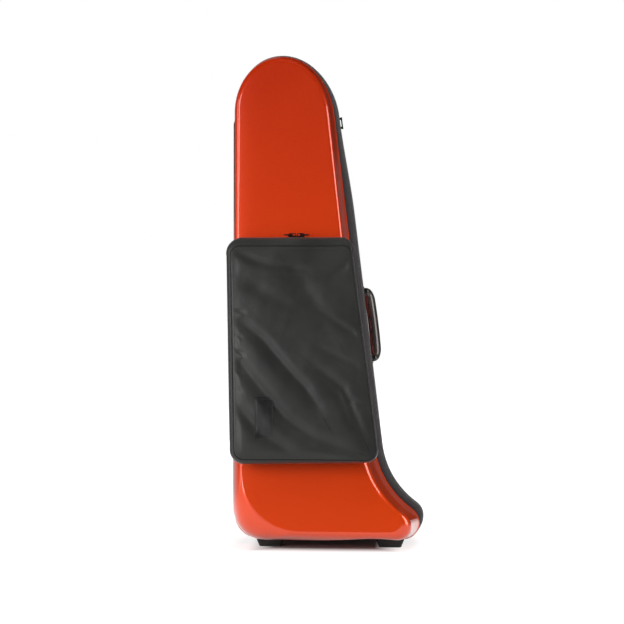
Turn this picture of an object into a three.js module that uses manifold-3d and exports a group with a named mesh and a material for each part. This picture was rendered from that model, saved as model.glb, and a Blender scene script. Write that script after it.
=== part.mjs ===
// A hard case for a bass trombone, standing on its bell end.
// Millimetres, +Z up. X runs from the hinge side to the hand side, Y from the front to the back.
// While it is built, x = 0 is the hinge side of the shells' rims and y = 0 is the seam's middle.
// At the end the whole case is moved so that the origin is the centre of its base.
import * as THREE from "three";
import { mergeVertices } from "three/addons/utils/BufferGeometryUtils.js";
import Module from "manifold-3d";

const wasm = await Module();
wasm.setup();

// The shells' rims, seen from the front
const RIM_WIDTH = 357;
const RIM_TOP = 939;
const FOOT_HEIGHT = 10;
const DOME_HINGE_SIDE = { across: 91, up: 107 }; // the dome's two quarters, from its highest point
const DOME_HAND_SIDE = { across: 103.5, up: 136 };
const SIDE_TAPER_DEG = 6.94;
const FLARE_R = 175;
const FLARE_SLOPE_DEG = 38.7;
const NOSE_R = 32;
const HEEL_R = 46;

// The shells
const SEAM_GAP = 50; // between the two rims, bridged by the zip band
const DEPTH_AT_FOOT = 124; // of one shell, from its rim
const DEPTH_AT_TOP = 42;
const SHELL_WALL = 3.2;
const LIP_OUT = 1.6;
const LIP_HEIGHT = 5;
const WALL_DRAFT = 0.12; // how far a side wall draws in before it rounds over, as a share of the depth
const ROUND_SHARE = 0.6; // most of the depth that the rounding may take
const FACE_INSET_SIDE = 26; // from the rim to the flat face
const FACE_INSET_TOP = 30;
const FACE_INSET_FOOT = 28;
const FACE_INSET_NOSE = 33;
const FACE_HEEL_R = 112;
const FACE_NOSE_R = 20;
const FACE_FLARE_R = 182;

// The zip band between the rims
const CLEARANCE = 0.3;
const SEAL_THICK = 4.4;
const SEAL_HEIGHT = 4.6;
const SEAL_SET_IN = 0.4;
const TAPE_SET_IN = 2.2;
const TAPE_THICK = 1.6;
const BULGE = 16; // how far the band's cloth bows out along the straight hand side
const BULGE_SHARES = { crown: 0.42, shoulder: 0.58, flank: 0.9, foot: 0.2 };
const CHAIN_WIDTH = 6;
const CHAIN_THICK = 2.4;
const CHAIN_PROUD = 1;
const HINGE_MARGIN = 19; // from each end of the straight hinge side
const HINGE_TOP = RIM_TOP - DOME_HINGE_SIDE.up - HINGE_MARGIN;
const HINGE_BOTTOM = FOOT_HEIGHT + HEEL_R + HINGE_MARGIN;
const LEAF_THICK = 2;
const LEAF_LAP = 4.6;

// The foam inside, and what it is cut out for
const LINER_RIM_SET_IN = 7.6;
const LINER_GAP = 1; // from a liner to the seam's middle
const LINER_FIT = 0.5; // from a liner to its shell
const BELL_R = 124;
const BELL_ROOM = 5;
const BELL_X = 216;
const BELL_LOW_Z = 36;
const BELL_RIM_THICK = 14;
const BELL_TOP_Z = 640;
const BELL_THROAT_R = 24;
const BELL_FLARE = 68;
const BELL_LEAN_DEG = 4;
const LEG_SPACING = 112; // from the bell's tube to the gooseneck's
const LEG_WIDTH = 44;
const LEG_DEPTH = 36;
const LEG_BOTTOM_Z = 215;
const BOW_HEIGHT = 70;
const VALVE = { width: 96, height: 150, depth: 74, z: 330 };
const COMPARTMENT = { width: 62, height: 110, depth: 60, x: 24, z: 60 };
const SLIDE = { width: 92, height: 812, depth: 57, x: 20, z: 56, tubeR: 11 };
const REST_HEIGHT = 30;
const REST_THICK = 24;
const REST_SHARES = [0.16, 0.72]; // of the slide channel's height
const NOTCH_SHARES = [0.22, 0.78]; // of the slide channel's width
const STRAP_WIDTH = 25;
const STRAP_THICK = 1.8;
const STRAP_LAP = 9;
const STRAP_SET_IN = 5;
const SLIDE_STRAP_SHARES = [0.26, 0.8]; // of the slide channel's height
const NECK_STRAP_RISE = 25; // from the valves' recess to the strap's middle
const NECK_STRAP_Z = VALVE.z + VALVE.height + NECK_STRAP_RISE;
const MOUTHPIECE = { width: 86, height: 52, depth: 42, x: 56, drop: 155, room: 40 }; // drop: from the top
const mouthpieceZ = RIM_TOP - MOUTHPIECE.drop;
const SHANK = { radius: 7, spacing: 42, floor: 14 };

// The handle on the hand side
const HANDLE_Z = 419;
const HANDLE_REST_DEG = 22; // from the wall
const HANDLE_PIVOT_OUT = 8;
const HANDLE_PIVOT_BACK = 12.5; // behind the back shell's rim
const HANDLE_REACH = 36;
const HANDLE_BOW = 2;
const ARM_SPREAD = 66;
const GRIP_THICK = 19;
const GRIP_WIDTH = 24;
const GRIP_START = 15;
const GRIP_END_R = 7;
const STUB_R = 6;
const CORE_SET_IN = 8; // how far the core runs into each end fitting
const EYE_R = 7;
const EYE_HEIGHT = 12;
const PIN_R = 2.7;
const PIN_HEAD_R = 4;
const PIN_HEAD = 1.4;
const CORE_R = 2.2;
const EAR_THICK = 3;
const EAR_R = 6;
const BRACKET_BACK = 20;
const BRACKET_FOOT_THICK = 2.5;

// The four strap staples on the back shell
const STAPLE_LENGTH = 25;
const STAPLE_STAND = 11;
const STAPLE_BAR_R = 1.5;
const STAPLE_KNOB_R = 3.6;
const STAPLE_TIP_R = 2;
const STAPLE_BACK = 9; // behind the back shell's rim, on the hand side
const STAPLE_BACK_HINGE = 30; // the same on the hinge side, clear of the open lid
const STAPLE_DROP = 124; // from the rims' top to the upper staple
const STAPLE_HIGH_Z = RIM_TOP - STAPLE_DROP;
const STAPLE_LOW_Z = 235;

// Feet below and rests on the back
const FOOT_LENGTH = 42;
const FOOT_WIDTH = 20;
const FOOT_TOE = 7;
const FOOT_SHARES = [0.205, 0.845]; // of the rims' width
const FOOT_BACK = 36; // from the rim
const STUD_R = 11;
const STUD_TOP_R = 9;
const STUD_HEIGHT = 6;
const STUD_PLACE_SHARES = [[0.2, 0.13], [0.72, 0.11], [0.19, 0.86], [0.36, 0.86]]; // across and up the rims

// The music pocket on the lid
const POCKET_DEPTH = 45;
const POCKET_LOW = 170.5; // heights of the front panel's ends above the floor
const POCKET_HIGH = 567;
const POCKET_LEFT_TOP = 5.5;
const POCKET_LEFT_FOOT = 16.5;
const POCKET_RIGHT_TOP = 231.5;
const POCKET_RIGHT_FOOT = 284;
const POCKET_TOP_R = 17;
const POCKET_FOOT_R = 19;
const POCKET_FOLD = 33; // above the panel's lower edge
const POCKET_BULGE = 8;
const POCKET_BULGE_SHARES = { left: 1.15, top: 2.2, right: 0.15, footRight: 0.5, footLeft: 1 };
const POCKET_CLOTH = 1.8;
const BACK_PANEL_THICK = 3;
const FRONT_PANEL_THICK = 2.4;
const PIPING_R = 1.2;
const PIPING_SIDES = 6;
const POCKET_ZIP_WIDTH = 6;
const PATCH = { x: 55, z: 42, width: 35, height: 74, thick: 1.2 };

// Zip sliders and their pulls
const SLIDER_LENGTH = 15;
const SLIDER_WIDTH = 10;
const SLIDER_PLATE = 2.2;
const SLIDER_LIFT = 0.9; // from the chain's top to the slider
const SLIDER_GAP = 0.5;
const BRIDGE_HEIGHT = 5;
const BRIDGE_THICK = 1.6;
const BRIDGE_WIDTH = 3;
const PULL_BAR_R = 1;
const PULL_ARM = 1.6;
const PULL_PLAY = 2; // from the bridge's end to the pull's tab
const PULL_THICK = 1.8;
const MAIN_PULL_LENGTH = 34;
const POCKET_PULL_LENGTH = 16;
const MAIN_SLIDER_Z = HANDLE_Z; // the sliders meet beside the handle
const POCKET_SLIDER_X = 128;

// How finely round things are cut
const DOME_STEPS = 7; // in each quarter
const SIDE_STEPS = 9;
const FLARE_STEPS = 6;
const NOSE_STEPS = 8;
const FOOT_STEPS = 3;
const HEEL_STEPS = 6;
const CORNER_STEPS = 4;
const GRIP_STEPS = 18;
const OVERRUN = 40; // how far a cutting shape reaches past what it cuts
const SEAT_REACH = 6; // how far a fitting reaches into the wall that it is cut to

const deg = THREE.MathUtils.degToRad;
const lerp = THREE.MathUtils.lerp;
const ease = (t, from, to) => THREE.MathUtils.smoothstep(t, from, to);
const TAPER = deg(SIDE_TAPER_DEG);
const HALF_GAP = SEAM_GAP / 2;
const FACE_TILT = Math.atan((DEPTH_AT_FOOT - DEPTH_AT_TOP) / (RIM_TOP - FOOT_HEIGHT));
const faceDepth = (z) => DEPTH_AT_FOOT - (z - FOOT_HEIGHT) * Math.tan(FACE_TILT);

// Where a line square to a direction touches an ellipse: how far from its centre, and at which point and angle
function ellipseTouch({ across, up }, way) {
  const reach = Math.hypot(across * way.x, up * way.y);
  const point = new THREE.Vector2(across ** 2 * way.x, up ** 2 * way.y).divideScalar(reach);
  return { reach, point, angle: Math.atan2(up * way.y, across * way.x) };
}

// Straight lines, each given by its outward direction and its distance from the origin, joined by round
// corners. A corner is part of an ellipse, or of a circle where it is given one radius. A negative radius is a
// hollow corner.
function roundedLines(lines, radii) {
  const normals = lines.map(([angle]) => new THREE.Vector2(Math.cos(angle), Math.sin(angle)));
  const corners = lines.map(([, offset], i) => {
    const j = (i + 1) % lines.length;
    const [a, b] = [normals[i], normals[j]];
    const way = radii[i] < 0 ? -1 : 1;
    const round = { across: Math.abs(radii[i]), up: Math.abs(radii[i]) };
    const size = radii[i].across ? radii[i] : round;
    const [first, last] = [ellipseTouch(size, a), ellipseTouch(size, b)];
    const [p, q] = [offset - way * first.reach, lines[j][1] - way * last.reach];
    const cross = a.cross(b);
    const centre = new THREE.Vector2((p * b.y - q * a.y) / cross, (a.x * q - b.x * p) / cross);
    const turn = way > 0 ? 0 : Math.PI;
    return {
      from: centre.clone().addScaledVector(first.point, way),
      to: centre.clone().addScaledVector(last.point, way),
      arc: new THREE.EllipseCurve(
        centre.x, centre.y, size.across, size.up, first.angle + turn, last.angle + turn, way > 0,
      ),
    };
  });
  return lines.map((_, i) => ({
    line: new THREE.LineCurve(corners[(i + lines.length - 1) % lines.length].to, corners[i].from),
    arc: corners[i].arc,
  }));
}

// Points along curves, each with its outward direction and its share of the bulge
function stationsAlong(runs) {
  return runs.flatMap(([curve, steps, share = () => 0]) =>
    Array.from({ length: steps }, (_, i) => {
      const at = i / steps;
      const point = curve.getPoint(at);
      const along = curve.getTangent(at);
      return { x: point.x, z: point.y, nx: -along.y, nz: along.x, share: share(at) };
    }),
  );
}

// The leaning side's distance from the origin, which brings the dome's two quarters together at the top
function sideOffset(left, top, [hingeDome, handDome]) {
  const way = new THREE.Vector2(Math.cos(TAPER), Math.sin(TAPER));
  const centre = new THREE.Vector2(left + hingeDome.across, top - handDome.up);
  return centre.dot(way) + ellipseTouch(handDome, way).reach;
}

// The case seen from the front, drawn clockwise from the hinge's top end. A smaller or larger case shape has
// the same number of points in the same order, so that two of them can be joined point by point.
function caseOutline({ left, right, top, bottom, domes, flareR, noseR, heelR }) {
  const slope = Math.PI / 2 - deg(FLARE_SLOPE_DEG);
  const slopeOffset = (right - noseR) * Math.cos(slope) + (bottom + noseR) * Math.sin(slope) + noseR;
  const [hinge, crest, side, flank, foot] = roundedLines(
    [
      [Math.PI, -left], [Math.PI / 2, top], [TAPER, sideOffset(left, top, domes)],
      [slope, slopeOffset], [-Math.PI / 2, -bottom],
    ],
    [...domes, -flareR, noseR, heelR],
  );
  const low = new THREE.Vector2(left, hinge.line.v1.y + HINGE_MARGIN);
  const high = new THREE.Vector2(left, hinge.line.v2.y - HINGE_MARGIN);
  const { crown, shoulder, flank: slopeShare, foot: footShare } = BULGE_SHARES;
  return stationsAlong([
    [new THREE.LineCurve(high, hinge.line.v2), 1],
    [hinge.arc, DOME_STEPS, (t) => crown * ease(t, 0, 0.8)],
    [crest.arc, DOME_STEPS, (t) => lerp(crown, shoulder, ease(t, 0.4, 1))],
    [side.line, SIDE_STEPS, (t) => lerp(shoulder, 1, ease(t, 0, 0.3))],
    [side.arc, FLARE_STEPS, (t) => lerp(1, slopeShare, t)],
    [flank.line, 1, () => slopeShare],
    [flank.arc, NOSE_STEPS, (t) => lerp(slopeShare, footShare, ease(t, 0, 0.6))],
    [foot.line, FOOT_STEPS, () => footShare],
    [foot.arc, HEEL_STEPS, (t) => footShare * (1 - t)],
    [new THREE.LineCurve(hinge.line.v1, low), 1],
    [new THREE.LineCurve(low, high), 1],
  ]);
}

const RIM = {
  left: 0, right: RIM_WIDTH, top: RIM_TOP, bottom: FOOT_HEIGHT,
  domes: [DOME_HINGE_SIDE, DOME_HAND_SIDE], flareR: FLARE_R, noseR: NOSE_R, heelR: HEEL_R,
};
const FACE = {
  left: FACE_INSET_SIDE, right: RIM_WIDTH - FACE_INSET_NOSE,
  top: RIM_TOP - FACE_INSET_TOP, bottom: FOOT_HEIGHT + FACE_INSET_FOOT,
  domes: RIM.domes.map(({ across, up }) => ({ across: across - FACE_INSET_SIDE, up: up - FACE_INSET_TOP })),
  flareR: FACE_FLARE_R, noseR: FACE_NOSE_R, heelR: FACE_HEEL_R,
};
const rim = caseOutline(RIM);
const face = caseOutline(FACE);
const sideLine = sideOffset(RIM.left, RIM.top, RIM.domes);
const sideX = (z) => (sideLine - z * Math.sin(TAPER)) / Math.cos(TAPER);

// Meshes and solids

// A closed surface through rings of points, each ring with as many points as the next
function loft(rings, closed = false) {
  const size = rings[0].length;
  const points = rings.flat();
  const faces = [];
  const joins = closed ? rings.length : rings.length - 1;
  for (let j = 0; j < joins; j += 1) {
    const [a, b] = [j * size, ((j + 1) % rings.length) * size];
    for (let i = 0; i < size; i += 1) {
      const k = (i + 1) % size;
      faces.push([a + i, a + k, b + k], [a + i, b + k, b + i]);
    }
  }
  if (!closed) {
    for (const tri of flatCap(rings[0])) faces.push(tri.slice().reverse());
    const last = (rings.length - 1) * size;
    for (const tri of flatCap(rings.at(-1))) faces.push(tri.map((i) => i + last));
  }
  return faceOutwards(points, faces);
}

// The triangles that fill a flat ring
function flatCap(ring) {
  const normal = new THREE.Vector3();
  ring.forEach((p, i) => normal.add(new THREE.Vector3().crossVectors(p, ring[(i + 1) % ring.length])));
  normal.normalize();
  const turn = new THREE.Quaternion().setFromUnitVectors(normal, new THREE.Vector3(0, 0, 1));
  const flat = ring.map((p) => p.clone().applyQuaternion(turn));
  return THREE.ShapeUtils.triangulateShape(flat.map((p) => new THREE.Vector2(p.x, p.y)), []);
}

// A mesh of these points and faces, turned so that the faces point outwards
function faceOutwards(points, faces) {
  let volume = 0;
  for (const [a, b, c] of faces) volume += points[a].dot(points[b].clone().cross(points[c]));
  const index = faces.flatMap(([a, b, c]) => (volume > 0 ? [a, b, c] : [a, c, b]));
  const geometry = new THREE.BufferGeometry().setFromPoints(points);
  geometry.setIndex(index);
  return geometry;
}

const WELD = 1e-4;

function asSolid(geometry) {
  const bare = geometry.clone();
  bare.deleteAttribute("normal");
  bare.deleteAttribute("uv");
  const merged = mergeVertices(bare, WELD);
  return new wasm.Manifold(new wasm.Mesh({
    numProp: 3,
    vertProperties: new Float32Array(merged.attributes.position.array),
    triVerts: new Uint32Array(merged.index.array),
  }));
}

function asGeometry(solid) {
  const mesh = solid.getMesh();
  const geometry = new THREE.BufferGeometry();
  geometry.setAttribute("position", new THREE.BufferAttribute(new Float32Array(mesh.vertProperties), 3));
  geometry.setIndex(new THREE.BufferAttribute(new Uint32Array(mesh.triVerts), 1));
  return geometry;
}

const joined = (...parts) => asGeometry(parts.map(asSolid).reduce((a, b) => a.add(b)));
const cut = (body, ...tools) => asGeometry(tools.map(asSolid).reduce((a, b) => a.subtract(b), asSolid(body)));

// A box between two corners
function block([x0, x1], [y0, y1], [z0, z1]) {
  return new THREE.BoxGeometry(x1 - x0, y1 - y0, z1 - z0)
    .translate((x0 + x1) / 2, (y0 + y1) / 2, (z0 + z1) / 2);
}

// A box with its four long edges rounded, long in Z
function roundBlock(width, depth, height, radius, steps = 3) {
  const [x, y] = [width / 2, depth / 2];
  const outline = new THREE.Shape();
  outline.absarc(x - radius, y - radius, radius, 0, Math.PI / 2);
  outline.absarc(radius - x, y - radius, radius, Math.PI / 2, Math.PI);
  outline.absarc(radius - x, radius - y, radius, Math.PI, 1.5 * Math.PI);
  outline.absarc(x - radius, radius - y, radius, 1.5 * Math.PI, 2 * Math.PI);
  const settings = { depth: height, bevelEnabled: false, curveSegments: steps };
  return new THREE.ExtrudeGeometry(outline, settings).translate(0, 0, -height / 2);
}

const rodZ = (radius, length, sides = 12) =>
  new THREE.CylinderGeometry(radius, radius, length, sides).rotateX(Math.PI / 2);
const rodY = (radius, length, sides = 10) => new THREE.CylinderGeometry(radius, radius, length, sides);

// The shells

// How a shell's wall runs from its rim to its flat face, as places inwards and deep. The wall leans in, then
// rounds over in a quarter of an ellipse. A thicker inner skin follows it at the distance given.
function wallSection(inset, depth, skin, lip) {
  const roundIn = inset - WALL_DRAFT * depth;
  const roundDeep = Math.min(roundIn, ROUND_SHARE * depth);
  const start = lip
    ? [[skin, 0], [skin, LIP_HEIGHT], [LIP_OUT + skin, LIP_HEIGHT + LIP_OUT]]
    : [[LIP_OUT + skin, 0]];
  const angles = lip ? [0, 22.5, 45, 67.5, 90] : [0, 30, 60, 90];
  const round = angles.map(deg).map((a) => [
    inset - (roundIn - skin) * Math.cos(a),
    depth - roundDeep + (roundDeep - skin) * Math.sin(a),
  ]);
  return [...start, ...round];
}

// Rings of points over a shell from its rim to its face; side is -1 for the lid, 1 for the back
function shellRings(side, skin, lip) {
  const sections = rim.map((edge, i) => {
    const toward = new THREE.Vector2(face[i].x - edge.x, face[i].z - edge.z);
    const inset = toward.length();
    toward.normalize();
    return wallSection(inset, faceDepth(face[i].z), skin, lip).map(([inwards, deep]) =>
      new THREE.Vector3(
        edge.x + toward.x * inwards,
        side * (HALF_GAP + deep),
        edge.z + toward.y * inwards,
      ));
  });
  return sections[0].map((_, row) => sections.map((section) => section[row]));
}

const atDepth = (ring, y) => ring.map((p) => new THREE.Vector3(p.x, y, p.z));

function shellGeometry(side) {
  const inner = shellRings(side, SHELL_WALL, false);
  const mouth = atDepth(inner[0], side * (HALF_GAP - OVERRUN));
  return cut(loft(shellRings(side, 0, true)), loft([mouth, ...inner]));
}

// The space that a shell takes up, a little larger all round, for fitting pieces against it
const shellSpace = (side) => loft(shellRings(side, -CLEARANCE, true));

// A strip carried along the rim: section gives places outwards and deep for each station
function alongRim(stations, section, closed) {
  return loft(
    stations.map((s) => section(s).map(([out, y]) => new THREE.Vector3(s.x + s.nx * out, y, s.z + s.nz * out))),
    closed,
  );
}

function rimSeal(side) {
  const near = side * (HALF_GAP - CLEARANCE);
  const far = side * (HALF_GAP - SEAL_HEIGHT);
  return alongRim(rim, () => [
    [-SEAL_SET_IN, near], [-SEAL_SET_IN, far], [-SEAL_THICK, far], [-SEAL_THICK, near],
  ], true);
}

// The zip band starts and ends at the hinge
const bandStations = rim;
const crestOut = (s) => BULGE * s.share - TAPE_SET_IN;

function zipTape(side) {
  const [start, end] = [HALF_GAP - SEAL_HEIGHT - CLEARANCE, CHAIN_WIDTH / 2 + CLEARANCE];
  const angles = [0, 50, 90].map(deg);
  return alongRim(bandStations, (s) => {
    const curve = (thick) => angles.map((a) => [
      BULGE * s.share * Math.sin(a) - TAPE_SET_IN - thick,
      side * lerp(end, start, Math.cos(a)),
    ]);
    return [...curve(0), ...curve(TAPE_THICK).reverse()];
  }, false);
}

function zipChain(side) {
  const [near, far] = [side * CLEARANCE / 2, (side * CHAIN_WIDTH) / 2];
  return alongRim(bandStations, (s) => {
    const [top, under] = [crestOut(s) + CHAIN_PROUD, crestOut(s) + CHAIN_PROUD - CHAIN_THICK];
    return [[top, near], [top, far], [under, far], [under, near]];
  }, false);
}

// The cloth hinge: one leaf on each shell, meeting at the seam's middle
function hingeLeaf(side) {
  const reach = side * (HALF_GAP + LEAF_LAP);
  const outer = -CLEARANCE - LEAF_THICK;
  const [low, high] = [HINGE_BOTTOM + CLEARANCE, HINGE_TOP - CLEARANCE];
  const ring = (z) => [
    [outer, side * CLEARANCE / 2], [outer, reach - side * LEAF_THICK], [-CLEARANCE, reach],
    [-CLEARANCE, side * CLEARANCE / 2],
  ].map(([x, y]) => new THREE.Vector3(x, y, z));
  return loft([ring(low), ring(high)]);
}
const HINGE_AXIS_X = -CLEARANCE - LEAF_THICK;

// The foam liners

// A plug that fills one shell and half of the band, before anything is cut out of it
function linerPlug(side) {
  const ledge = (y) => rim.map((edge) => new THREE.Vector3(
    edge.x - edge.nx * LINER_RIM_SET_IN, y, edge.z - edge.nz * LINER_RIM_SET_IN,
  ));
  return loft([
    ledge(side * LINER_GAP),
    ledge(side * (HALF_GAP + LINER_FIT)),
    ...shellRings(side, SHELL_WALL + LINER_FIT, false).map((ring, i) =>
      (i === 0 ? atDepth(ring, side * (HALF_GAP + LINER_FIT)) : ring)),
  ]);
}

// The room for the bell: a revolved flare on a leaning axis
function bellRoom() {
  const reach = BELL_R + BELL_ROOM;
  const rise = BELL_TOP_Z - BELL_LOW_Z;
  const radiusAt = (up) =>
    BELL_THROAT_R + (reach - BELL_THROAT_R) * Math.exp(-(up - BELL_RIM_THICK) / BELL_FLARE);
  const flareShares = [0, 0.03, 0.07, 0.12, 0.2, 0.35, 1];
  const profile = [
    new THREE.Vector2(0, 0),
    new THREE.Vector2(reach, 0),
    ...flareShares.map((share) => {
      const up = lerp(BELL_RIM_THICK, rise, share);
      return new THREE.Vector2(radiusAt(up), up);
    }),
    new THREE.Vector2(0, rise),
  ];
  return new THREE.LatheGeometry(profile, 24)
    .rotateX(Math.PI / 2)
    .rotateY(-deg(BELL_LEAN_DEG))
    .translate(BELL_X, 0, BELL_LOW_Z);
}

const bellAxisX = (z) => BELL_X - (z - BELL_LOW_Z) * Math.tan(deg(BELL_LEAN_DEG));
const legX = (z) => bellAxisX(z) - LEG_SPACING;

const FLOOR_SHARE = 0.6; // of a channel's width that is left flat on its floor

// A channel that leans with the bell, open at the seam
function leaningChannel(lowZ, highZ, width, depth, x) {
  const corner = (z, way, y) => new THREE.Vector3(x(z) + (way * width) / 2, y, z);
  const ring = (z) => [
    corner(z, -1, -OVERRUN), corner(z, 1, -OVERRUN), corner(z, 1, depth * FLOOR_SHARE),
    corner(z, FLOOR_SHARE, depth), corner(z, -FLOOR_SHARE, depth), corner(z, -1, depth * FLOOR_SHARE),
  ];
  return loft([ring(lowZ), ring(highZ)]);
}

// The bow of the tuning slide joins the two legs in a half circle
function bowRoom() {
  const middle = (bellAxisX(BELL_TOP_Z) + legX(BELL_TOP_Z)) / 2;
  const outer = LEG_SPACING / 2 + LEG_WIDTH / 2;
  const outline = new THREE.Shape();
  outline.moveTo(-outer, -BOW_HEIGHT);
  outline.lineTo(outer, -BOW_HEIGHT);
  outline.absarc(0, 0, outer, 0, Math.PI);
  const settings = { depth: LEG_DEPTH + OVERRUN, bevelEnabled: false, curveSegments: 10 };
  return new THREE.ExtrudeGeometry(outline, settings)
    .rotateX(Math.PI / 2)
    .translate(middle, LEG_DEPTH, BELL_TOP_Z - outer / 2);
}

function strapSlot(x0, x1, z, side) {
  return block(
    [x0 - STRAP_LAP - CLEARANCE, x1 + STRAP_LAP + CLEARANCE],
    side > 0
      ? [-OVERRUN, LINER_GAP + STRAP_SET_IN]
      : [-LINER_GAP - STRAP_SET_IN, OVERRUN],
    [z - STRAP_WIDTH / 2 - CLEARANCE, z + STRAP_WIDTH / 2 + CLEARANCE],
  );
}

function strapBand(x0, x1, z, side) {
  const floor = side * (LINER_GAP + STRAP_SET_IN - CLEARANCE);
  const top = floor - side * STRAP_THICK;
  return block(
    [x0 - STRAP_LAP, x1 + STRAP_LAP],
    [Math.min(floor, top), Math.max(floor, top)],
    [z - STRAP_WIDTH / 2, z + STRAP_WIDTH / 2],
  );
}

const neckSpan = [legX(NECK_STRAP_Z) - LEG_WIDTH / 2, legX(NECK_STRAP_Z) + LEG_WIDTH / 2];

function backLiner() {
  const valve = leaningChannel(
    VALVE.z, VALVE.z + VALVE.height, VALVE.width, VALVE.depth,
    (z) => legX(z) + (VALVE.width - LEG_WIDTH) / 4,
  );
  const box = block(
    [COMPARTMENT.x, COMPARTMENT.x + COMPARTMENT.width],
    [-OVERRUN, LINER_GAP + COMPARTMENT.depth],
    [COMPARTMENT.z, COMPARTMENT.z + COMPARTMENT.height],
  );
  const nest = block(
    [MOUTHPIECE.x - CLEARANCE, MOUTHPIECE.x + MOUTHPIECE.width + CLEARANCE],
    [-OVERRUN, LINER_GAP + MOUTHPIECE.depth + CLEARANCE],
    [mouthpieceZ - CLEARANCE, mouthpieceZ + MOUTHPIECE.height + MOUTHPIECE.room],
  );
  return cut(
    linerPlug(1), bellRoom(),
    leaningChannel(LEG_BOTTOM_Z, BELL_TOP_Z - BOW_HEIGHT / 2, LEG_WIDTH, LEG_DEPTH, legX),
    bowRoom(), valve, box, nest, strapSlot(...neckSpan, NECK_STRAP_Z, 1),
  );
}

// The slide lies in the lid, in a channel open at the seam
const slideSpan = [SLIDE.x, SLIDE.x + SLIDE.width];
const upSlide = (share) => SLIDE.z + SLIDE.height * share;

function lidLiner() {
  const channel = block(slideSpan, [-LINER_GAP - SLIDE.depth, OVERRUN], [upSlide(0), upSlide(1)]);
  const slots = SLIDE_STRAP_SHARES.map((share) => strapSlot(...slideSpan, upSlide(share), -1));
  return cut(linerPlug(-1), bellRoom(), channel, ...slots);
}

// A cross block in the slide's channel, with two half-round notches for the slide's tubes
function slideRest(z) {
  const [inner, far] = [slideSpan[0] + CLEARANCE, slideSpan[1] - CLEARANCE];
  const floor = -LINER_GAP - SLIDE.depth + CLEARANCE;
  const body = block([inner, far], [floor, floor + REST_HEIGHT], [z, z + REST_THICK]);
  const notches = NOTCH_SHARES.map((share) =>
    rodZ(SLIDE.tubeR, REST_THICK + OVERRUN, 12)
      .translate(lerp(inner, far, share), floor + REST_HEIGHT, z + REST_THICK / 2));
  return cut(body, ...notches);
}

function mouthpieceBlock() {
  const { x, width, height, depth } = MOUTHPIECE;
  const z = mouthpieceZ;
  const body = block([x, x + width], [LINER_GAP, LINER_GAP + depth], [z, z + height]);
  const bores = [-1, 1].map((way) =>
    rodZ(SHANK.radius, height, 14)
      .translate(x + (width + way * SHANK.spacing) / 2, LINER_GAP + depth / 2, z + height / 2 + SHANK.floor));
  return cut(body, ...bores);
}

// The handle, in its own frame: x out from the pivot along the loop, y square to the loop, z along the side

// Half of the loop's middle line, from an end fitting round the corner to the middle of the grip
const CORNER_SHARES = { height: 0.67, lead: 0.34, pull: 0.88 }; // the corner's, of the spread and reach
function handleLine() {
  const out = HANDLE_REACH - HANDLE_BOW;
  const corner = ARM_SPREAD * CORNER_SHARES.height;
  const point = (x, z) => new THREE.Vector3(x, 0, z);
  const bend = point(out - 2 * HANDLE_BOW * (CORNER_SHARES.pull / CORNER_SHARES.height - 1),
    ARM_SPREAD * CORNER_SHARES.pull);
  const lead = point(GRIP_START + HANDLE_REACH * CORNER_SHARES.lead, ARM_SPREAD);
  const [start, arm, turn] = [
    point(GRIP_START - CORE_SET_IN, ARM_SPREAD), point(GRIP_START, ARM_SPREAD), point(out, corner),
  ];
  const flip = (p) => point(p.x, -p.z);
  const line = new THREE.CurvePath();
  line.add(new THREE.LineCurve3(start, arm));
  line.add(new THREE.CubicBezierCurve3(arm, lead, bend, turn));
  line.add(new THREE.QuadraticBezierCurve3(turn, point(HANDLE_REACH + HANDLE_BOW, 0), flip(turn)));
  line.add(new THREE.CubicBezierCurve3(flip(turn), flip(bend), flip(lead), flip(arm)));
  line.add(new THREE.LineCurve3(flip(arm), flip(start)));
  return line;
}
const handlePath = handleLine();

// An oval carried along part of the handle's line; size gives its half-width in the loop and across it
function handleSweep(sides, from, to, size) {
  const joints = Array.from({ length: GRIP_STEPS + 1 }, (_, i) => i / GRIP_STEPS);
  const stops = [from, ...joints.filter((at) => at > from && at < to), to];
  return loft(stops.map((at) => {
    const onLine = THREE.MathUtils.clamp(at, 0, 1);
    const along = handlePath.getTangent(onLine);
    const across = new THREE.Vector3(-along.z, 0, along.x);
    const centre = handlePath.getPoint(onLine).addScaledVector(along, (at - onLine) * handlePath.getLength());
    const [wide, thick] = size(at);
    return Array.from({ length: sides }, (_, k) => {
      const a = (2 * Math.PI * k) / sides;
      return centre.clone()
        .addScaledVector(across, wide * Math.cos(a))
        .add(new THREE.Vector3(0, thick * Math.sin(a), 0));
    });
  }));
}

const gripFrom = (CORE_SET_IN - CLEARANCE) / handlePath.getLength();
const swellShare = 0.22; // of the grip's length, at each end
const core = (radius, extra = 0) => handleSweep(
  8, -extra / handlePath.getLength(), 1 + extra / handlePath.getLength(), () => [radius, radius],
);

function handleGrip() {
  const outer = handleSweep(12, gripFrom, 1 - gripFrom, (at) => {
    const swell = ease(Math.min(at, 1 - at), gripFrom, swellShare);
    return [lerp(GRIP_END_R, GRIP_WIDTH / 2, swell), lerp(GRIP_END_R, GRIP_THICK / 2, swell)];
  });
  return cut(outer, core(CORE_R + CLEARANCE));
}

// One end fitting: an eye round the pivot pin and a stub that takes the core
function handleEnd(way) {
  const eye = rodZ(EYE_R, EYE_HEIGHT, 16).translate(0, 0, way * ARM_SPREAD);
  const stub = new THREE.CylinderGeometry(STUB_R, STUB_R, GRIP_START - CLEARANCE * 2, 12)
    .rotateZ(Math.PI / 2)
    .translate((GRIP_START - CLEARANCE * 2) / 2, 0, way * ARM_SPREAD);
  const bore = rodZ(PIN_R + CLEARANCE, EYE_HEIGHT + OVERRUN, 16).translate(0, 0, way * ARM_SPREAD);
  return cut(joined(eye, stub), bore, core(CORE_R + CLEARANCE, CLEARANCE));
}

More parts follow.
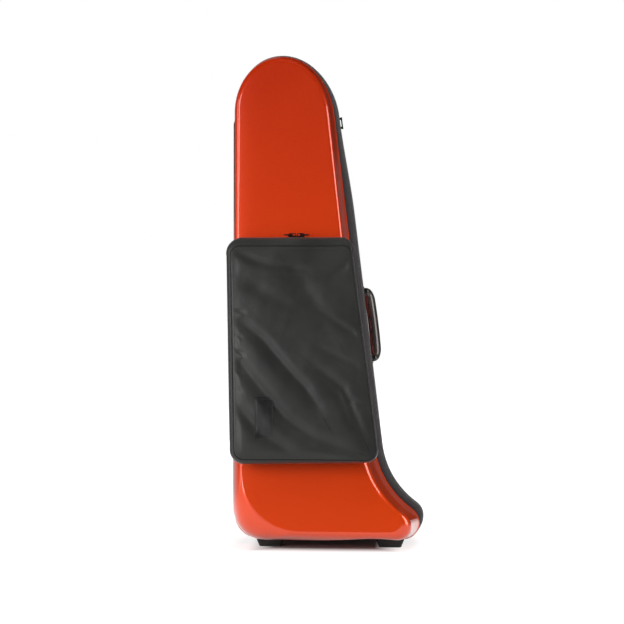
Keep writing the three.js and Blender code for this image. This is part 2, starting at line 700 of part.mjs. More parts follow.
// The bracket that carries a pivot pin, cut to the back shell. Its frame: x out from the rim, z along the side
const earAt = EYE_HEIGHT / 2 + CLEARANCE * 2;
const pinLength = 2 * (earAt + EAR_THICK + CLEARANCE + PIN_HEAD);

function handlePin(way) {
  const heads = [-1, 1].map((end) =>
    rodZ(PIN_HEAD_R, PIN_HEAD, 12).translate(0, 0, (end * (pinLength - PIN_HEAD)) / 2));
  return joined(rodZ(PIN_R, pinLength, 12), ...heads)
    .translate(HANDLE_PIVOT_OUT, HANDLE_PIVOT_BACK, way * ARM_SPREAD);
}

function handleBracket(way, wall) {
  const centre = way * ARM_SPREAD;
  const back = HANDLE_PIVOT_BACK;
  const reach = earAt + EAR_THICK;
  const ears = [-1, 1].map((turn) => {
    const z = centre + turn * (earAt + EAR_THICK / 2);
    const round = rodZ(EAR_R, EAR_THICK, 14).translate(HANDLE_PIVOT_OUT, back, z);
    const web = block(
      [-SEAT_REACH, HANDLE_PIVOT_OUT], [back - EAR_R, back + EAR_R],
      [z - EAR_THICK / 2, z + EAR_THICK / 2],
    );
    return joined(round, web);
  });
  const foot = block(
    [-SEAT_REACH - EAR_THICK, HANDLE_PIVOT_OUT - EYE_R - BRACKET_FOOT_THICK / 2 + CLEARANCE * 2],
    [back - BRACKET_BACK / 2, back + BRACKET_BACK / 2],
    [centre - reach - EAR_THICK, centre + reach + EAR_THICK],
  );
  const bore = rodZ(PIN_R + CLEARANCE, 2 * reach + OVERRUN, 12).translate(HANDLE_PIVOT_OUT, back, centre);
  return cut(joined(foot, ...ears), bore, wall);
}

// A strap staple: two knobs and a bar that stands off the wall, cut to the shell. Its frame: x out, z along
function strapStaple(wall) {
  const end = STAPLE_LENGTH / 2 - STAPLE_KNOB_R;
  const legs = [-1, 1].map((way) =>
    new THREE.CylinderGeometry(STAPLE_TIP_R, STAPLE_KNOB_R, STAPLE_STAND + 2 * SEAT_REACH, 10)
      .rotateZ(-Math.PI / 2)
      .translate((STAPLE_STAND - 2 * SEAT_REACH) / 2, 0, way * end));
  const bar = rodZ(STAPLE_BAR_R, STAPLE_LENGTH - STAPLE_BAR_R, 10)
    .translate(STAPLE_STAND - STAPLE_BAR_R, 0, 0);
  return cut(joined(bar, ...legs), wall);
}

// A rubber foot: a wedge with a slanting toe, cut to the shell above it
function rubberFoot(x, side) {
  const y = side * (HALF_GAP + FOOT_BACK);
  const ring = (z, longer) => {
    const [half, wide] = [FOOT_LENGTH / 2 + longer, FOOT_WIDTH / 2 + longer / 3];
    const nick = FOOT_TOE / 2;
    return [
      [-half, -wide + nick], [-half, wide - nick], [-half + nick, wide], [half - nick, wide],
      [half, wide - nick], [half, -wide + nick], [half - nick, -wide], [-half + nick, -wide],
    ].map(([u, v]) => new THREE.Vector3(x + u, y + v, z));
  };
  return cut(loft([ring(0, 0), ring(FOOT_HEIGHT + SEAT_REACH + LIP_OUT, FOOT_TOE)]), shellSpace(side));
}

function restStud(x, z) {
  const y = HALF_GAP + faceDepth(z);
  return new THREE.CylinderGeometry(STUD_TOP_R, STUD_R, STUD_HEIGHT, 14)
    .translate(0, STUD_HEIGHT / 2 + CLEARANCE, 0)
    .rotateX(FACE_TILT)
    .translate(x, y, z);
}

// The pocket, in its own frame: y = 0 on the lid's face and out of it towards -y, z up the face

const pocketHeight = (POCKET_HIGH - POCKET_LOW) / Math.cos(FACE_TILT);

// The pocket's outline, drawn clockwise from the fold on the hinge side, in an upper and a lower run
function pocketRuns() {
  const leftLean = Math.atan2(POCKET_LEFT_TOP - POCKET_LEFT_FOOT, pocketHeight);
  const rightLean = Math.atan2(POCKET_RIGHT_FOOT - POCKET_RIGHT_TOP, pocketHeight);
  const leftAngle = Math.PI - leftLean;
  const rightAngle = rightLean;
  const offset = (angle, x, z) => x * Math.cos(angle) + z * Math.sin(angle);
  const [left, top, right, foot] = roundedLines(
    [
      [leftAngle, offset(leftAngle, POCKET_LEFT_FOOT, 0)],
      [Math.PI / 2, pocketHeight],
      [rightAngle, offset(rightAngle, POCKET_RIGHT_FOOT, 0)],
      [-Math.PI / 2, 0],
    ],
    [POCKET_TOP_R, POCKET_TOP_R, POCKET_FOOT_R, POCKET_FOOT_R],
  );
  const onLine = (line) => {
    const share = (POCKET_FOLD - line.v1.y) / (line.v2.y - line.v1.y);
    return line.getPoint(share);
  };
  const [leftFold, rightFold] = [onLine(left.line), onLine(right.line)];
  const bulges = POCKET_BULGE_SHARES;
  const between = (from, to) => (t) => lerp(bulges[from], bulges[to], t);
  const upper = stationsAlong([
    [new THREE.LineCurve(leftFold, left.line.v2), 3, () => bulges.left],
    [left.arc, CORNER_STEPS, between("left", "top")],
    [top.line, 3, () => bulges.top],
    [top.arc, CORNER_STEPS, between("top", "right")],
    [new THREE.LineCurve(right.line.v1, rightFold), 3, () => bulges.right],
  ]);
  const lower = stationsAlong([
    [new THREE.LineCurve(rightFold, right.line.v2), 1, () => bulges.right],
    [right.arc, CORNER_STEPS, between("right", "footRight")],
    [foot.line, 2, between("footRight", "footLeft")],
    [foot.arc, CORNER_STEPS, between("footLeft", "left")],
    [new THREE.LineCurve(left.line.v1, leftFold), 1, () => bulges.left],
  ]);
  return { upper, lower };
}
const pocket = pocketRuns();
const pocketLoop = [...pocket.upper, ...pocket.lower];
const foldGap = CLEARANCE / 2;
const lift = (s, up) => ({ ...s, z: s.z + up });
const upperRun = [lift(pocket.upper[0], foldGap), ...pocket.upper.slice(1), lift(pocket.lower[0], foldGap)];
const lowerRun = [lift(pocket.lower[0], -foldGap), ...pocket.lower.slice(1), lift(pocket.upper[0], -foldGap)];
const pocketMiddle = -(BACK_PANEL_THICK + POCKET_DEPTH - FRONT_PANEL_THICK) / 2;
const zipHalf = POCKET_ZIP_WIDTH / 2 + CLEARANCE;
const backEdge = -BACK_PANEL_THICK - 2 * CLEARANCE;
const pipingY = -POCKET_DEPTH + PIPING_R - CLEARANCE;
const frontEdge = pipingY + PIPING_R + CLEARANCE;

// Half of the pocket's side wall, bulging from one edge to the zip in its middle
function pocketWall(stations, edge, closed) {
  const end = edge === backEdge ? pocketMiddle + zipHalf : pocketMiddle - zipHalf;
  return alongRim(stations, (s) => {
    const curve = (thick) => [0, 45, 90].map(deg).map((a) => [
      POCKET_BULGE * s.share * Math.sin(a) - thick, lerp(end, edge, Math.cos(a)),
    ]);
    return [...curve(0), ...curve(POCKET_CLOTH).reverse()];
  }, closed);
}

function pocketZip(stations, way) {
  const [near, far] = [pocketMiddle + way * CLEARANCE / 2, pocketMiddle + (way * POCKET_ZIP_WIDTH) / 2];
  return alongRim(stations, (s) => {
    const crest = POCKET_BULGE * s.share;
    const [out, under] = [crest + CHAIN_PROUD / 2, crest - POCKET_CLOTH];
    return [[out, near], [out, far], [under, far], [under, near]];
  }, false);
}

function pocketPiping(stations) {
  return alongRim(stations, () => Array.from({ length: PIPING_SIDES }, (_, k) => {
    const a = (2 * Math.PI * k) / PIPING_SIDES;
    return [PIPING_R * Math.cos(a), pipingY + PIPING_R * Math.sin(a)];
  }), false);
}

// A flat panel inside a run of stations
function panel(stations, setIn, y0, y1) {
  const ring = (y) => stations.map((s) => new THREE.Vector3(s.x - s.nx * setIn, y, s.z - s.nz * setIn));
  return loft([ring(y0), ring(y1)]);
}
const panelSetIn = PIPING_R + CLEARANCE;

// A panel's fold edge stays level, so its end stations only move sideways
const levelEnds = (stations) => stations.map((s, i) =>
  (i === 0 || i === stations.length - 1 ? { ...s, nx: Math.sign(s.nx), nz: 0 } : s));

// Zip sliders, in their own frame: x out of the band from the chain's top, y across it, z along it

const alongX = new THREE.Vector3(1, 0, 0);
const alongY = new THREE.Vector3(0, 1, 0);
const alongZ = new THREE.Vector3(0, 0, 1);

function zipSlider() {
  const plate = block(
    [SLIDER_LIFT, SLIDER_LIFT + SLIDER_PLATE],
    [-SLIDER_WIDTH / 2, SLIDER_WIDTH / 2],
    [-SLIDER_LENGTH / 2, SLIDER_LENGTH / 2],
  );
  const base = SLIDER_LIFT + SLIDER_PLATE;
  const half = SLIDER_LENGTH / 2 - SLIDER_GAP;
  const outline = new THREE.Shape();
  outline.moveTo(-half, -BRIDGE_THICK / 2);
  outline.lineTo(-half, BRIDGE_HEIGHT - BRIDGE_THICK);
  outline.lineTo(BRIDGE_THICK - half, BRIDGE_HEIGHT);
  outline.lineTo(half - BRIDGE_THICK, BRIDGE_HEIGHT);
  outline.lineTo(half, BRIDGE_HEIGHT - BRIDGE_THICK);
  outline.lineTo(half, -BRIDGE_THICK / 2);
  outline.lineTo(half - BRIDGE_THICK, -BRIDGE_THICK / 2);
  outline.lineTo(half - BRIDGE_THICK, BRIDGE_HEIGHT - BRIDGE_THICK);
  outline.lineTo(BRIDGE_THICK - half, BRIDGE_HEIGHT - BRIDGE_THICK);
  outline.lineTo(BRIDGE_THICK - half, -BRIDGE_THICK / 2);
  const bridge = new THREE.ExtrudeGeometry(outline, { depth: BRIDGE_WIDTH, bevelEnabled: false })
    .translate(0, 0, -BRIDGE_WIDTH / 2)
    .applyMatrix4(new THREE.Matrix4().makeBasis(alongZ, alongX, alongY))
    .translate(base, 0, 0);
  return joined(plate, bridge);
}
const pullPivotOut = SLIDER_LIFT + SLIDER_PLATE + (BRIDGE_HEIGHT - BRIDGE_THICK) / 2;

// A pull hangs from a bar under the slider's bridge; its frame is that of the slider, with its bar at z = 0
function zipPull(length, way) {
  const half = SLIDER_WIDTH / 2 - PULL_ARM / 2;
  const [low, high] = [-PULL_THICK / 2, PULL_THICK / 2];
  const armEnd = SLIDER_LENGTH / 2 + PULL_PLAY;
  const bar = rodY(PULL_BAR_R, 2 * half, 8);
  const outline = new THREE.Shape();
  outline.moveTo(-half - PULL_ARM / 2, -PULL_BAR_R);
  outline.lineTo(-half - PULL_ARM / 2, length - half);
  outline.absarc(0, length - half, half + PULL_ARM / 2, Math.PI, 0, true);
  outline.lineTo(half + PULL_ARM / 2, -PULL_BAR_R);
  const window = new THREE.Path();
  window.moveTo(-half + PULL_ARM / 2, -PULL_BAR_R * 2);
  window.lineTo(half - PULL_ARM / 2, -PULL_BAR_R * 2);
  window.lineTo(half - PULL_ARM / 2, armEnd);
  window.lineTo(-half + PULL_ARM / 2, armEnd);
  const opening = new THREE.Shape(window.getPoints());
  const plate = (shape, from, to) =>
    new THREE.ExtrudeGeometry(shape, { depth: to - from, bevelEnabled: false, curveSegments: 6 })
      .translate(0, 0, from)
      .applyMatrix4(new THREE.Matrix4().makeBasis(alongY, alongZ, alongX));
  const body = cut(plate(outline, low, high), plate(opening, low - OVERRUN, high + OVERRUN));
  return joined(body, bar).rotateX(way > 0 ? 0 : Math.PI);
}

// Materials

const finish = (color, roughness, metalness = 0) =>
  new THREE.MeshStandardMaterial({ color, roughness, metalness });
const finishes = {
  shell: () => finish(0xc84616, 0.16, 0.25),
  rubber: () => finish(0x1d1a19, 0.6),
  tape: () => finish(0x3b3735, 0.8),
  teeth: () => finish(0x2a2827, 0.45),
  vinyl: () => finish(0x444442, 0.5),
  foam: () => finish(0x2f2f33, 0.95),
  grip: () => finish(0x312c28, 0.4),
  steel: () => finish(0x9a9a9c, 0.3, 1),
  black: () => finish(0x161616, 0.35),
};

function add(parent, name, geometry, kind) {
  const mesh = new THREE.Mesh(geometry, finishes[kind]());
  mesh.name = name;
  parent.add(mesh);
  return mesh;
}

function addGroup(parent, name, x = 0, y = 0, z = 0) {
  const group = new THREE.Group();
  group.name = name;
  group.position.set(x, y, z);
  parent.add(group);
  return group;
}

// A frame on the hand side at a height: x out of the side, z up along it
function handSide(parent, name, z) {
  const group = addGroup(parent, name, sideX(z), 0, z);
  group.rotation.y = -TAPER;
  return group;
}

// The world place of a geometry that is modelled in a group's frame, and back
const intoFrame = (geometry, group) => {
  group.updateMatrix();
  return geometry.clone().applyMatrix4(group.matrix.clone().invert());
};

// The back half

const part = new THREE.Group();
part.name = "trombone_case";
const shells = addGroup(part, "back_body");
const backSpace = shellSpace(1);

add(shells, "back_shell", shellGeometry(1), "shell");
add(shells, "back_rim_seal", rimSeal(1), "rubber");
add(shells, "back_zip_tape", zipTape(1), "tape");
add(shells, "back_zip_chain", zipChain(1), "teeth");
add(shells, "back_hinge_leaf", hingeLeaf(1), "tape");
add(shells, "back_liner", backLiner(), "foam");
add(shells, "neck_strap", strapBand(...neckSpan, NECK_STRAP_Z, 1), "tape");
add(shells, "mouthpiece_block", mouthpieceBlock(), "foam");
FOOT_SHARES.forEach((share, i) =>
  add(shells, `foot_back_${["left", "right"][i]}`, rubberFoot(share * RIM_WIDTH, 1), "rubber"));
STUD_PLACE_SHARES.forEach(([across, up], i) =>
  add(shells, `rest_stud_${i + 1}`, restStud(across * RIM_WIDTH, up * RIM_TOP), "rubber"));

// Staples stand on the back shell's wall, two above and two below
const staplePlaces = [
  { name: "upper_hand", x: sideX(STAPLE_HIGH_Z), y: STAPLE_BACK, z: STAPLE_HIGH_Z, turn: -TAPER },
  { name: "lower_hand", x: sideX(STAPLE_LOW_Z), y: STAPLE_BACK, z: STAPLE_LOW_Z, turn: -TAPER },
  { name: "upper_hinge", x: 0, y: STAPLE_BACK_HINGE, z: HINGE_TOP, turn: Math.PI },
  { name: "lower_hinge", x: 0, y: STAPLE_BACK_HINGE, z: HINGE_BOTTOM + STAPLE_LENGTH, turn: Math.PI },
];
for (const { name, x, y, z, turn } of staplePlaces) {
  const place = addGroup(shells, `staple_place_${name}`, x, HALF_GAP + y, z);
  place.rotation.y = turn;
  add(place, `strap_staple_${name}`, strapStaple(intoFrame(backSpace, place)), "black");
}

// The handle: brackets and pins on the back shell, the loop on its pivot
const handleFrame = handSide(shells, "handle_frame", HANDLE_Z);
handleFrame.position.y = HALF_GAP;
const wallHere = intoFrame(backSpace, handleFrame);
for (const [name, way] of [["upper", 1], ["lower", -1]]) {
  add(handleFrame, `handle_bracket_${name}`, handleBracket(way, wallHere), "black");
  add(handleFrame, `handle_pin_${name}`, handlePin(way), "steel");
}
const handle = addGroup(handleFrame, "handle_pivot", HANDLE_PIVOT_OUT, HANDLE_PIVOT_BACK, 0);
handle.rotation.z = Math.PI / 2 - deg(HANDLE_REST_DEG);
add(handle, "handle_grip", handleGrip(), "grip");
add(handle, "handle_core", core(CORE_R), "steel");
add(handle, "handle_end_upper", handleEnd(1), "black");
add(handle, "handle_end_lower", handleEnd(-1), "black");

// The main zip's two sliders meet nose to nose on the hand side
const chainTop = BULGE - TAPE_SET_IN + CHAIN_PROUD;
const sliderStep = (SLIDER_LENGTH + SLIDER_GAP) / 2;
for (const [name, way] of [["upper", 1], ["lower", -1]]) {
  const frame = handSide(shells, `zip_place_${name}`, MAIN_SLIDER_Z);
  const slider = addGroup(frame, `zip_slide_${name}`, chainTop, 0, way * sliderStep);
  add(slider, `zip_slider_${name}`, zipSlider(), "black");
  const pull = addGroup(slider, `zip_pull_pivot_${name}`, pullPivotOut, 0, 0);
  add(pull, `zip_pull_${name}`, zipPull(MAIN_PULL_LENGTH, way), "black");
}

// The lid half swings about the outer face of the cloth hinge
const lid = addGroup(part, "lid_hinge", HINGE_AXIS_X, 0, 0);
const lidBody = addGroup(lid, "lid_body", -HINGE_AXIS_X, 0, 0);
add(lidBody, "lid_shell", shellGeometry(-1), "shell");
add(lidBody, "lid_rim_seal", rimSeal(-1), "rubber");
add(lidBody, "lid_zip_tape", zipTape(-1), "tape");
add(lidBody, "lid_zip_chain", zipChain(-1), "teeth");
add(lidBody, "lid_hinge_leaf", hingeLeaf(-1), "tape");
add(lidBody, "lid_liner", lidLiner(), "foam");
REST_SHARES.forEach((share, i) =>
  add(lidBody, `slide_rest_${["lower", "upper"][i]}`, slideRest(upSlide(share)), "foam"));
SLIDE_STRAP_SHARES.forEach((share, i) =>
  add(lidBody, `slide_strap_${["lower", "upper"][i]}`, strapBand(...slideSpan, upSlide(share), -1), "tape"));
FOOT_SHARES.forEach((share, i) =>
  add(lidBody, `foot_front_${["left", "right"][i]}`, rubberFoot(share * RIM_WIDTH, -1), "rubber"));

// The pocket stands on the lid's sloping face
const bag = addGroup(lidBody, "pocket_frame", 0, -HALF_GAP - faceDepth(POCKET_LOW), POCKET_LOW);
bag.rotation.x = -FACE_TILT;
add(bag, "pocket_back_panel", panel(pocketLoop, panelSetIn, -CLEARANCE, -CLEARANCE - BACK_PANEL_THICK),
  "vinyl");
add(bag, "pocket_wall_back", pocketWall(pocketLoop, backEdge, true), "vinyl");
add(bag, "pocket_wall_foot", pocketWall(lowerRun, frontEdge, false), "vinyl");
add(bag, "pocket_zip_back", pocketZip(upperRun, 1), "teeth");
add(bag, "pocket_piping_foot", pocketPiping(lowerRun), "vinyl");
const panelFront = -POCKET_DEPTH;
const panelBack = panelFront + FRONT_PANEL_THICK;
add(bag, "pocket_front_foot", panel(levelEnds(lowerRun), panelSetIn, panelFront, panelBack), "vinyl");

// The front panel folds down about its lower edge when the pocket's zip is open
const flapPivot = panelFront - 2 * CLEARANCE;
const flap = addGroup(bag, "pocket_flap_hinge", 0, flapPivot, POCKET_FOLD);
const flapBody = addGroup(flap, "pocket_flap_body", 0, -flapPivot, -POCKET_FOLD);
add(flapBody, "pocket_front_panel", panel(levelEnds(upperRun), panelSetIn, panelFront, panelBack), "vinyl");
add(flapBody, "pocket_wall_front", pocketWall(upperRun, frontEdge, false), "vinyl");
add(flapBody, "pocket_zip_front", pocketZip(upperRun, -1), "teeth");
add(flapBody, "pocket_piping", pocketPiping(upperRun), "vinyl");
add(flapBody, "pocket_patch", block(
  [PATCH.x, PATCH.x + PATCH.width],
  [panelFront - CLEARANCE - PATCH.thick, panelFront - CLEARANCE],
  [PATCH.z, PATCH.z + PATCH.height],
), "vinyl");

// The pocket's two sliders meet in the middle of its upper edge
const pocketZipTop = pocketHeight + POCKET_BULGE * POCKET_BULGE_SHARES.top + CHAIN_PROUD / 2;
for (const [name, way] of [["left", 1], ["right", -1]]) {
  const place = addGroup(bag, `pocket_zip_place_${name}`, POCKET_SLIDER_X, pocketMiddle, pocketZipTop);
  place.rotation.y = -Math.PI / 2;
  const slider = addGroup(place, `pocket_slide_${name}`, 0, 0, way * sliderStep);
  add(slider, `pocket_slider_${name}`, zipSlider(), "black");
  const pull = addGroup(slider, `pocket_pull_pivot_${name}`, pullPivotOut, 0, 0);
  add(pull, `pocket_pull_${name}`, zipPull(POCKET_PULL_LENGTH, way), "black");
}

// The origin goes to the centre of the base
const size = new THREE.Box3().setFromObject(part);
const centre = size.getCenter(new THREE.Vector3());
part.position.set(-centre.x, -centre.y, -size.min.z);
const trombone_case = new THREE.Group();
trombone_case.add(part);

export default trombone_case;
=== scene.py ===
"""The looks of a hard trombone case that stands on its bell end.

Two lacquered shells with rubber welts, a zipped cloth band and a cloth hinge between them, foam trays
inside, a side handle, strap staples, rubber feet and a music pocket with a fold-down front.
Lengths are millimetres in the case's own place until a mesh is made: x = 0 is the hinge side of the rims,
y = 0 the middle of the seam and z = 0 the floor.
"""
import math

import bpy
import numpy as np
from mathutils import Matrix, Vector


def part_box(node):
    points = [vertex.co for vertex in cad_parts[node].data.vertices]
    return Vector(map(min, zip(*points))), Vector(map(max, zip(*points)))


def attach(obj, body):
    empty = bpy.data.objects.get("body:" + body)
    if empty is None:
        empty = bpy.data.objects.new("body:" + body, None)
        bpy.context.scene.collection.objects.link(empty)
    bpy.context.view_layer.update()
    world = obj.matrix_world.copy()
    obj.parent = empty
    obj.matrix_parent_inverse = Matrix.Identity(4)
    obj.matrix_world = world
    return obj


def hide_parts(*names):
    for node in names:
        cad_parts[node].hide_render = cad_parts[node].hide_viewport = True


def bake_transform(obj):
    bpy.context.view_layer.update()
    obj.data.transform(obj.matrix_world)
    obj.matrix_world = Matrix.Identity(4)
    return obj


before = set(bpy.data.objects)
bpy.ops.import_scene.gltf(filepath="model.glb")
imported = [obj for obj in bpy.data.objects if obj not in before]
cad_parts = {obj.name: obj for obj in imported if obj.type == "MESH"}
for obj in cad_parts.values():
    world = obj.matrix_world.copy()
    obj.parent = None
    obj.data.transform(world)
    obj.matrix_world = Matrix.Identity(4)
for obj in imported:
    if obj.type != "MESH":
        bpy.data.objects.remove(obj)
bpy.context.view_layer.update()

# Measures of the case, taken from the frame where a solid's box gives them

MM = 0.001
lid_low, lid_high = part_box("lid_shell")
back_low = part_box("back_shell")[0]
HINGE_SIDE = lid_low.x
SEAM = (lid_high.y + back_low.y) / 2
HALF_GAP = (back_low.y - lid_high.y) / 2 / MM
RIM_WIDTH = (lid_high.x - lid_low.x) / MM
RIM_TOP = lid_high.z / MM
FOOT_HEIGHT = lid_low.z / MM
DEPTH_AT_FOOT = 124
DEPTH_AT_TOP = 42
HINGE_DOME = (91, 107)  # half-width and half-height of the dome's quarter on each side of its top
HAND_DOME = (103.5, 136)
FLARE_R, NOSE_R, HEEL_R = 175, 32, 46
FACE_FLARE_R, FACE_NOSE_R, FACE_HEEL_R = 182, 20, 112
TAPER = math.radians(6.94)
FLARE_SLOPE = math.radians(38.7)
HINGE_MARGIN = 19
SHELL_WALL = 3.2
LIP_OUT = 1.6
LIP_HEIGHT = 5
WALL_DRAFT = 0.12
ROUND_SHARE = 0.6
INSET_SIDE, INSET_TOP, INSET_FOOT, INSET_NOSE = 26, 30, 28, 33
RIM = {"left": 0, "right": RIM_WIDTH, "top": RIM_TOP, "bottom": FOOT_HEIGHT,
       "domes": (HINGE_DOME, HAND_DOME), "flare": FLARE_R, "nose": NOSE_R, "heel": HEEL_R}
FACE = {"left": INSET_SIDE, "right": RIM_WIDTH - INSET_NOSE, "top": RIM_TOP - INSET_TOP,
        "bottom": FOOT_HEIGHT + INSET_FOOT,
        "domes": tuple((across - INSET_SIDE, up - INSET_TOP) for across, up in RIM["domes"]),
        "flare": FACE_FLARE_R, "nose": FACE_NOSE_R, "heel": FACE_HEEL_R}
TOP_ROUNDING = 0.6  # share of the rounding's width that is left in the upper half
TIGHTENS_FROM, TIGHTENS_TO = 300, 600  # heights between which the rounding narrows
FACE_CROWN, CROWN_REACH = 2.5, 60  # how much lower the lid's face is at its edge, and how far in that begins
CROWN_FROM, CROWN_TO = 40, 150  # heights between which that comes in
FACE_HEART = (110, 170)  # a point from which the whole of the face's edge is in sight
TAPE_SET_IN = 2.2
TAPE_THICK = 1.6
BULGE = 16
CROWN, SHOULDER, FLANK, FOOT = 0.42, 0.58, 0.9, 0.2  # shares of the band's bulge round the case
TEETH_PITCH = 3.2
FACE_TILT = math.atan((DEPTH_AT_FOOT - DEPTH_AT_TOP) / (RIM_TOP - FOOT_HEIGHT))
ACROSS = np.array([0.0, 1.0, 0.0])
ORIGIN = np.array([HINGE_SIDE, SEAM, 0.0])


def face_depth(z):
    """The depth of a shell at a height: it falls evenly from the foot to the top."""
    return DEPTH_AT_FOOT - (z - FOOT_HEIGHT) * math.tan(FACE_TILT)


def ease(t, start, end):
    """A smooth step: 3s squared less 2s cubed, where s runs from 0 at start to 1 at end."""
    s = np.clip((t - start) / (end - start), 0, 1)
    return s * s * (3 - 2 * s)


def blended(a, b, t):
    """The value that lies a share t of the way from a to b."""
    return a + (b - a) * t


def one_long(vectors):
    """Vectors made one long."""
    return vectors / np.linalg.norm(vectors, axis=1)[:, None]


def read_off(at, lengths, points):
    """The points at given lengths along a line of points, each number read off between its neighbours."""
    return np.stack([np.interp(at, lengths, column) for column in points.T], 1)


# Meshes


def volume(points, faces):
    """The signed volume inside a closed mesh: a sixth of the sum of a . (b x c) over fans of its faces."""
    total = 0.0
    for f in faces:
        for k in range(1, f.shape[1] - 1):
            a, b, c = points[f[:, 0]], points[f[:, k]], points[f[:, k + 1]]
            total += float((a * np.cross(b, c)).sum()) / 6
    return total


def make_piece(name, points, faces, corners=None, crease=40):
    """A mesh object from points in millimetres and arrays of faces, turned so that its faces point outwards.

    corners gives a place on the cloth, in metres, for each corner of each face. An edge that turns by more
    than the crease angle stays crisp.
    """
    if volume(points - points.mean(0), faces) < 0:
        faces = [f[:, ::-1] for f in faces]
        corners = corners and [c[:, ::-1] for c in corners]
    loops = np.concatenate([f.ravel() for f in faces]).astype(np.int32)
    counts = np.concatenate([np.full(len(f), f.shape[1]) for f in faces])
    starts = np.concatenate([[0], np.cumsum(counts)[:-1]]).astype(np.int32)
    mesh = bpy.data.meshes.new(name)
    mesh.vertices.add(len(points))
    placed = points * MM + ORIGIN
    mesh.vertices.foreach_set("co", placed.astype(np.float32).ravel())
    mesh.loops.add(len(loops))
    mesh.loops.foreach_set("vertex_index", loops)
    mesh.polygons.add(len(counts))
    mesh.polygons.foreach_set("loop_start", starts)
    mesh.update(calc_edges=True)
    if corners is not None:
        layer = mesh.uv_layers.new(name="cloth")
        flat = np.concatenate([c.reshape(-1, 2) for c in corners])
        layer.data.foreach_set("uv", flat.astype(np.float32).ravel())
    mesh.shade_smooth()
    mesh.set_sharp_from_angle(angle=math.radians(crease))
    piece = bpy.data.objects.new(name, mesh)
    bpy.context.collection.objects.link(piece)
    return piece


def run_lengths(points):
    """How far along a line of points each one lies, in metres."""
    steps = np.linalg.norm(np.diff(points, axis=0), axis=1)
    return np.concatenate([[0], np.cumsum(steps)]) * MM


def quads_of(rows, cols, closed):
    """The four corners' rows and columns of each quad on a grid that is closed round its columns."""
    r, c = np.meshgrid(np.arange(rows if closed else rows - 1), np.arange(cols), indexing="ij")
    r, c = r.ravel(), c.ravel()
    return np.stack([r, r, r + 1, r + 1], 1), np.stack([c, c + 1, c + 1, c], 1)


def carried(name, grid, closed=False):
    """A section carried along a path: grid[i, k] is point k of the closed section at stop i of the path.

    Where the path is open, each end is closed by quads that join the section's first half to its second.
    The cloth's place is the length round the middle section and the length along the path.
    """
    stops, size = grid.shape[:2]
    rows, cols = quads_of(stops, size, closed)
    faces = [(rows % stops) * size + cols % size]
    round_it = run_lengths(np.concatenate([grid[stops // 2], grid[stops // 2][:1]]))
    line = np.concatenate([grid[:, 0], grid[:1, 0]]) if closed else grid[:, 0]
    along = run_lengths(line)
    corners = [np.stack([round_it[cols], along[rows]], 2)]
    if not closed:
        k = np.arange(size // 2 - 1)
        cap = np.stack([k, k + 1, size - 2 - k, size - 1 - k], 1)
        for first, turn in ((0, -1), (stops - 1, 1)):
            faces.append((cap + first * size)[:, ::turn])
            spot = np.stack([round_it[cap], np.full(cap.shape, along[first])], 2)
            corners.append(spot[:, ::turn])
    return make_piece(name, grid.reshape(-1, 3), faces, corners)


def domed(name, rings, crease=40):
    """Rings of points joined in turn, with the first and the last each closed by a fan to its own middle."""
    stops, size = rings.shape[:2]
    rows, cols = quads_of(stops, size, False)
    c = np.arange(size)
    ends = rings[[0, -1]].mean(1)
    points = np.concatenate([rings.reshape(-1, 3), ends])
    after = (c + 1) % size
    first = np.stack([np.full(size, stops * size), after, c], 1)
    last = np.stack([np.full(size, stops * size + 1), c, after], 1)
    last[:, 1:] += (stops - 1) * size
    return make_piece(name, points, [rows * size + cols % size, first, last], None, crease)


def repeated(name, unit, faces, origins, axes, crease=40):
    """One small shape set down again and again: each copy's points are its origin plus the unit's three
    numbers times its three axes."""
    points = origins[:, None] + np.einsum("pk,nkd->npd", unit, axes)
    shift = np.arange(len(origins))[:, None, None] * len(unit)
    copies = [(f[None] + shift).reshape(-1, f.shape[1]) for f in faces]
    return make_piece(name, points.reshape(-1, 3), copies, None, crease)


def bead_unit(places, sides):
    """A small closed shape along its first axis: an oval ring at each place (where, half-width, half-height),
    with a flat end. Ovals are width times cosine and height times sine."""
    a = 2 * np.pi * (np.arange(sides) + 0.5) / sides
    rings = [np.stack([np.full(sides, at), wide * np.cos(a), high * np.sin(a)], 1)
             for at, wide, high in places]
    rows, cols = quads_of(len(places), sides, False)
    quads = rows * sides + cols % sides
    end = np.arange(sides)[None]
    return np.concatenate(rings), [quads, end[:, ::-1], end + (len(places) - 1) * sides]


def oval(half_width, half_height, count, power=2.0):
    """A closed section: cosine and sine raised to 2 / power, so that a high power gives a rounded box."""
    a = 2 * np.pi * (np.arange(count) + 0.5) / count
    way = np.stack([np.cos(a), np.sin(a)], 1)
    return np.array([half_width, half_height]) * np.sign(way) * np.abs(way) ** (2 / power)


def closed_strip(outer, thick):
    """The closed section of a strip: its outer line, then the same line, set in and backwards."""
    return np.concatenate([outer, (outer - [thick, 0])[..., ::-1, :]], -2)


def carry(path, out, section):
    """The grid of a section along a path: stop + first number x out + second number x across the seam."""
    section = np.broadcast_to(section, (len(path),) + section.shape[-2:])
    return path[:, None] + section[..., :1] * out[:, None] + section[..., 1:] * ACROSS


# The outline of the case, seen from the front

class Stations:
    """Points along an outline: place, outward direction, share of the band's bulge, and length so far."""

    def __init__(self, spot, out, share):
        self.spot, self.out = (np.insert(flat, 1, 0, axis=1) for flat in (spot, out))
        self.share = share
        self.at = run_lengths(self.spot) / MM

    def spaced(self, start, end, pitch):
        """Stations at an even pitch between two lengths, each value read off between its neighbours."""
        other = Stations.__new__(Stations)
        other.at = np.arange(start, end, pitch)
        other.spot = read_off(other.at, self.at, self.spot)
        other.out = one_long(read_off(other.at, self.at, self.out))
        other.share = np.interp(other.at, self.at, self.share)
        return other


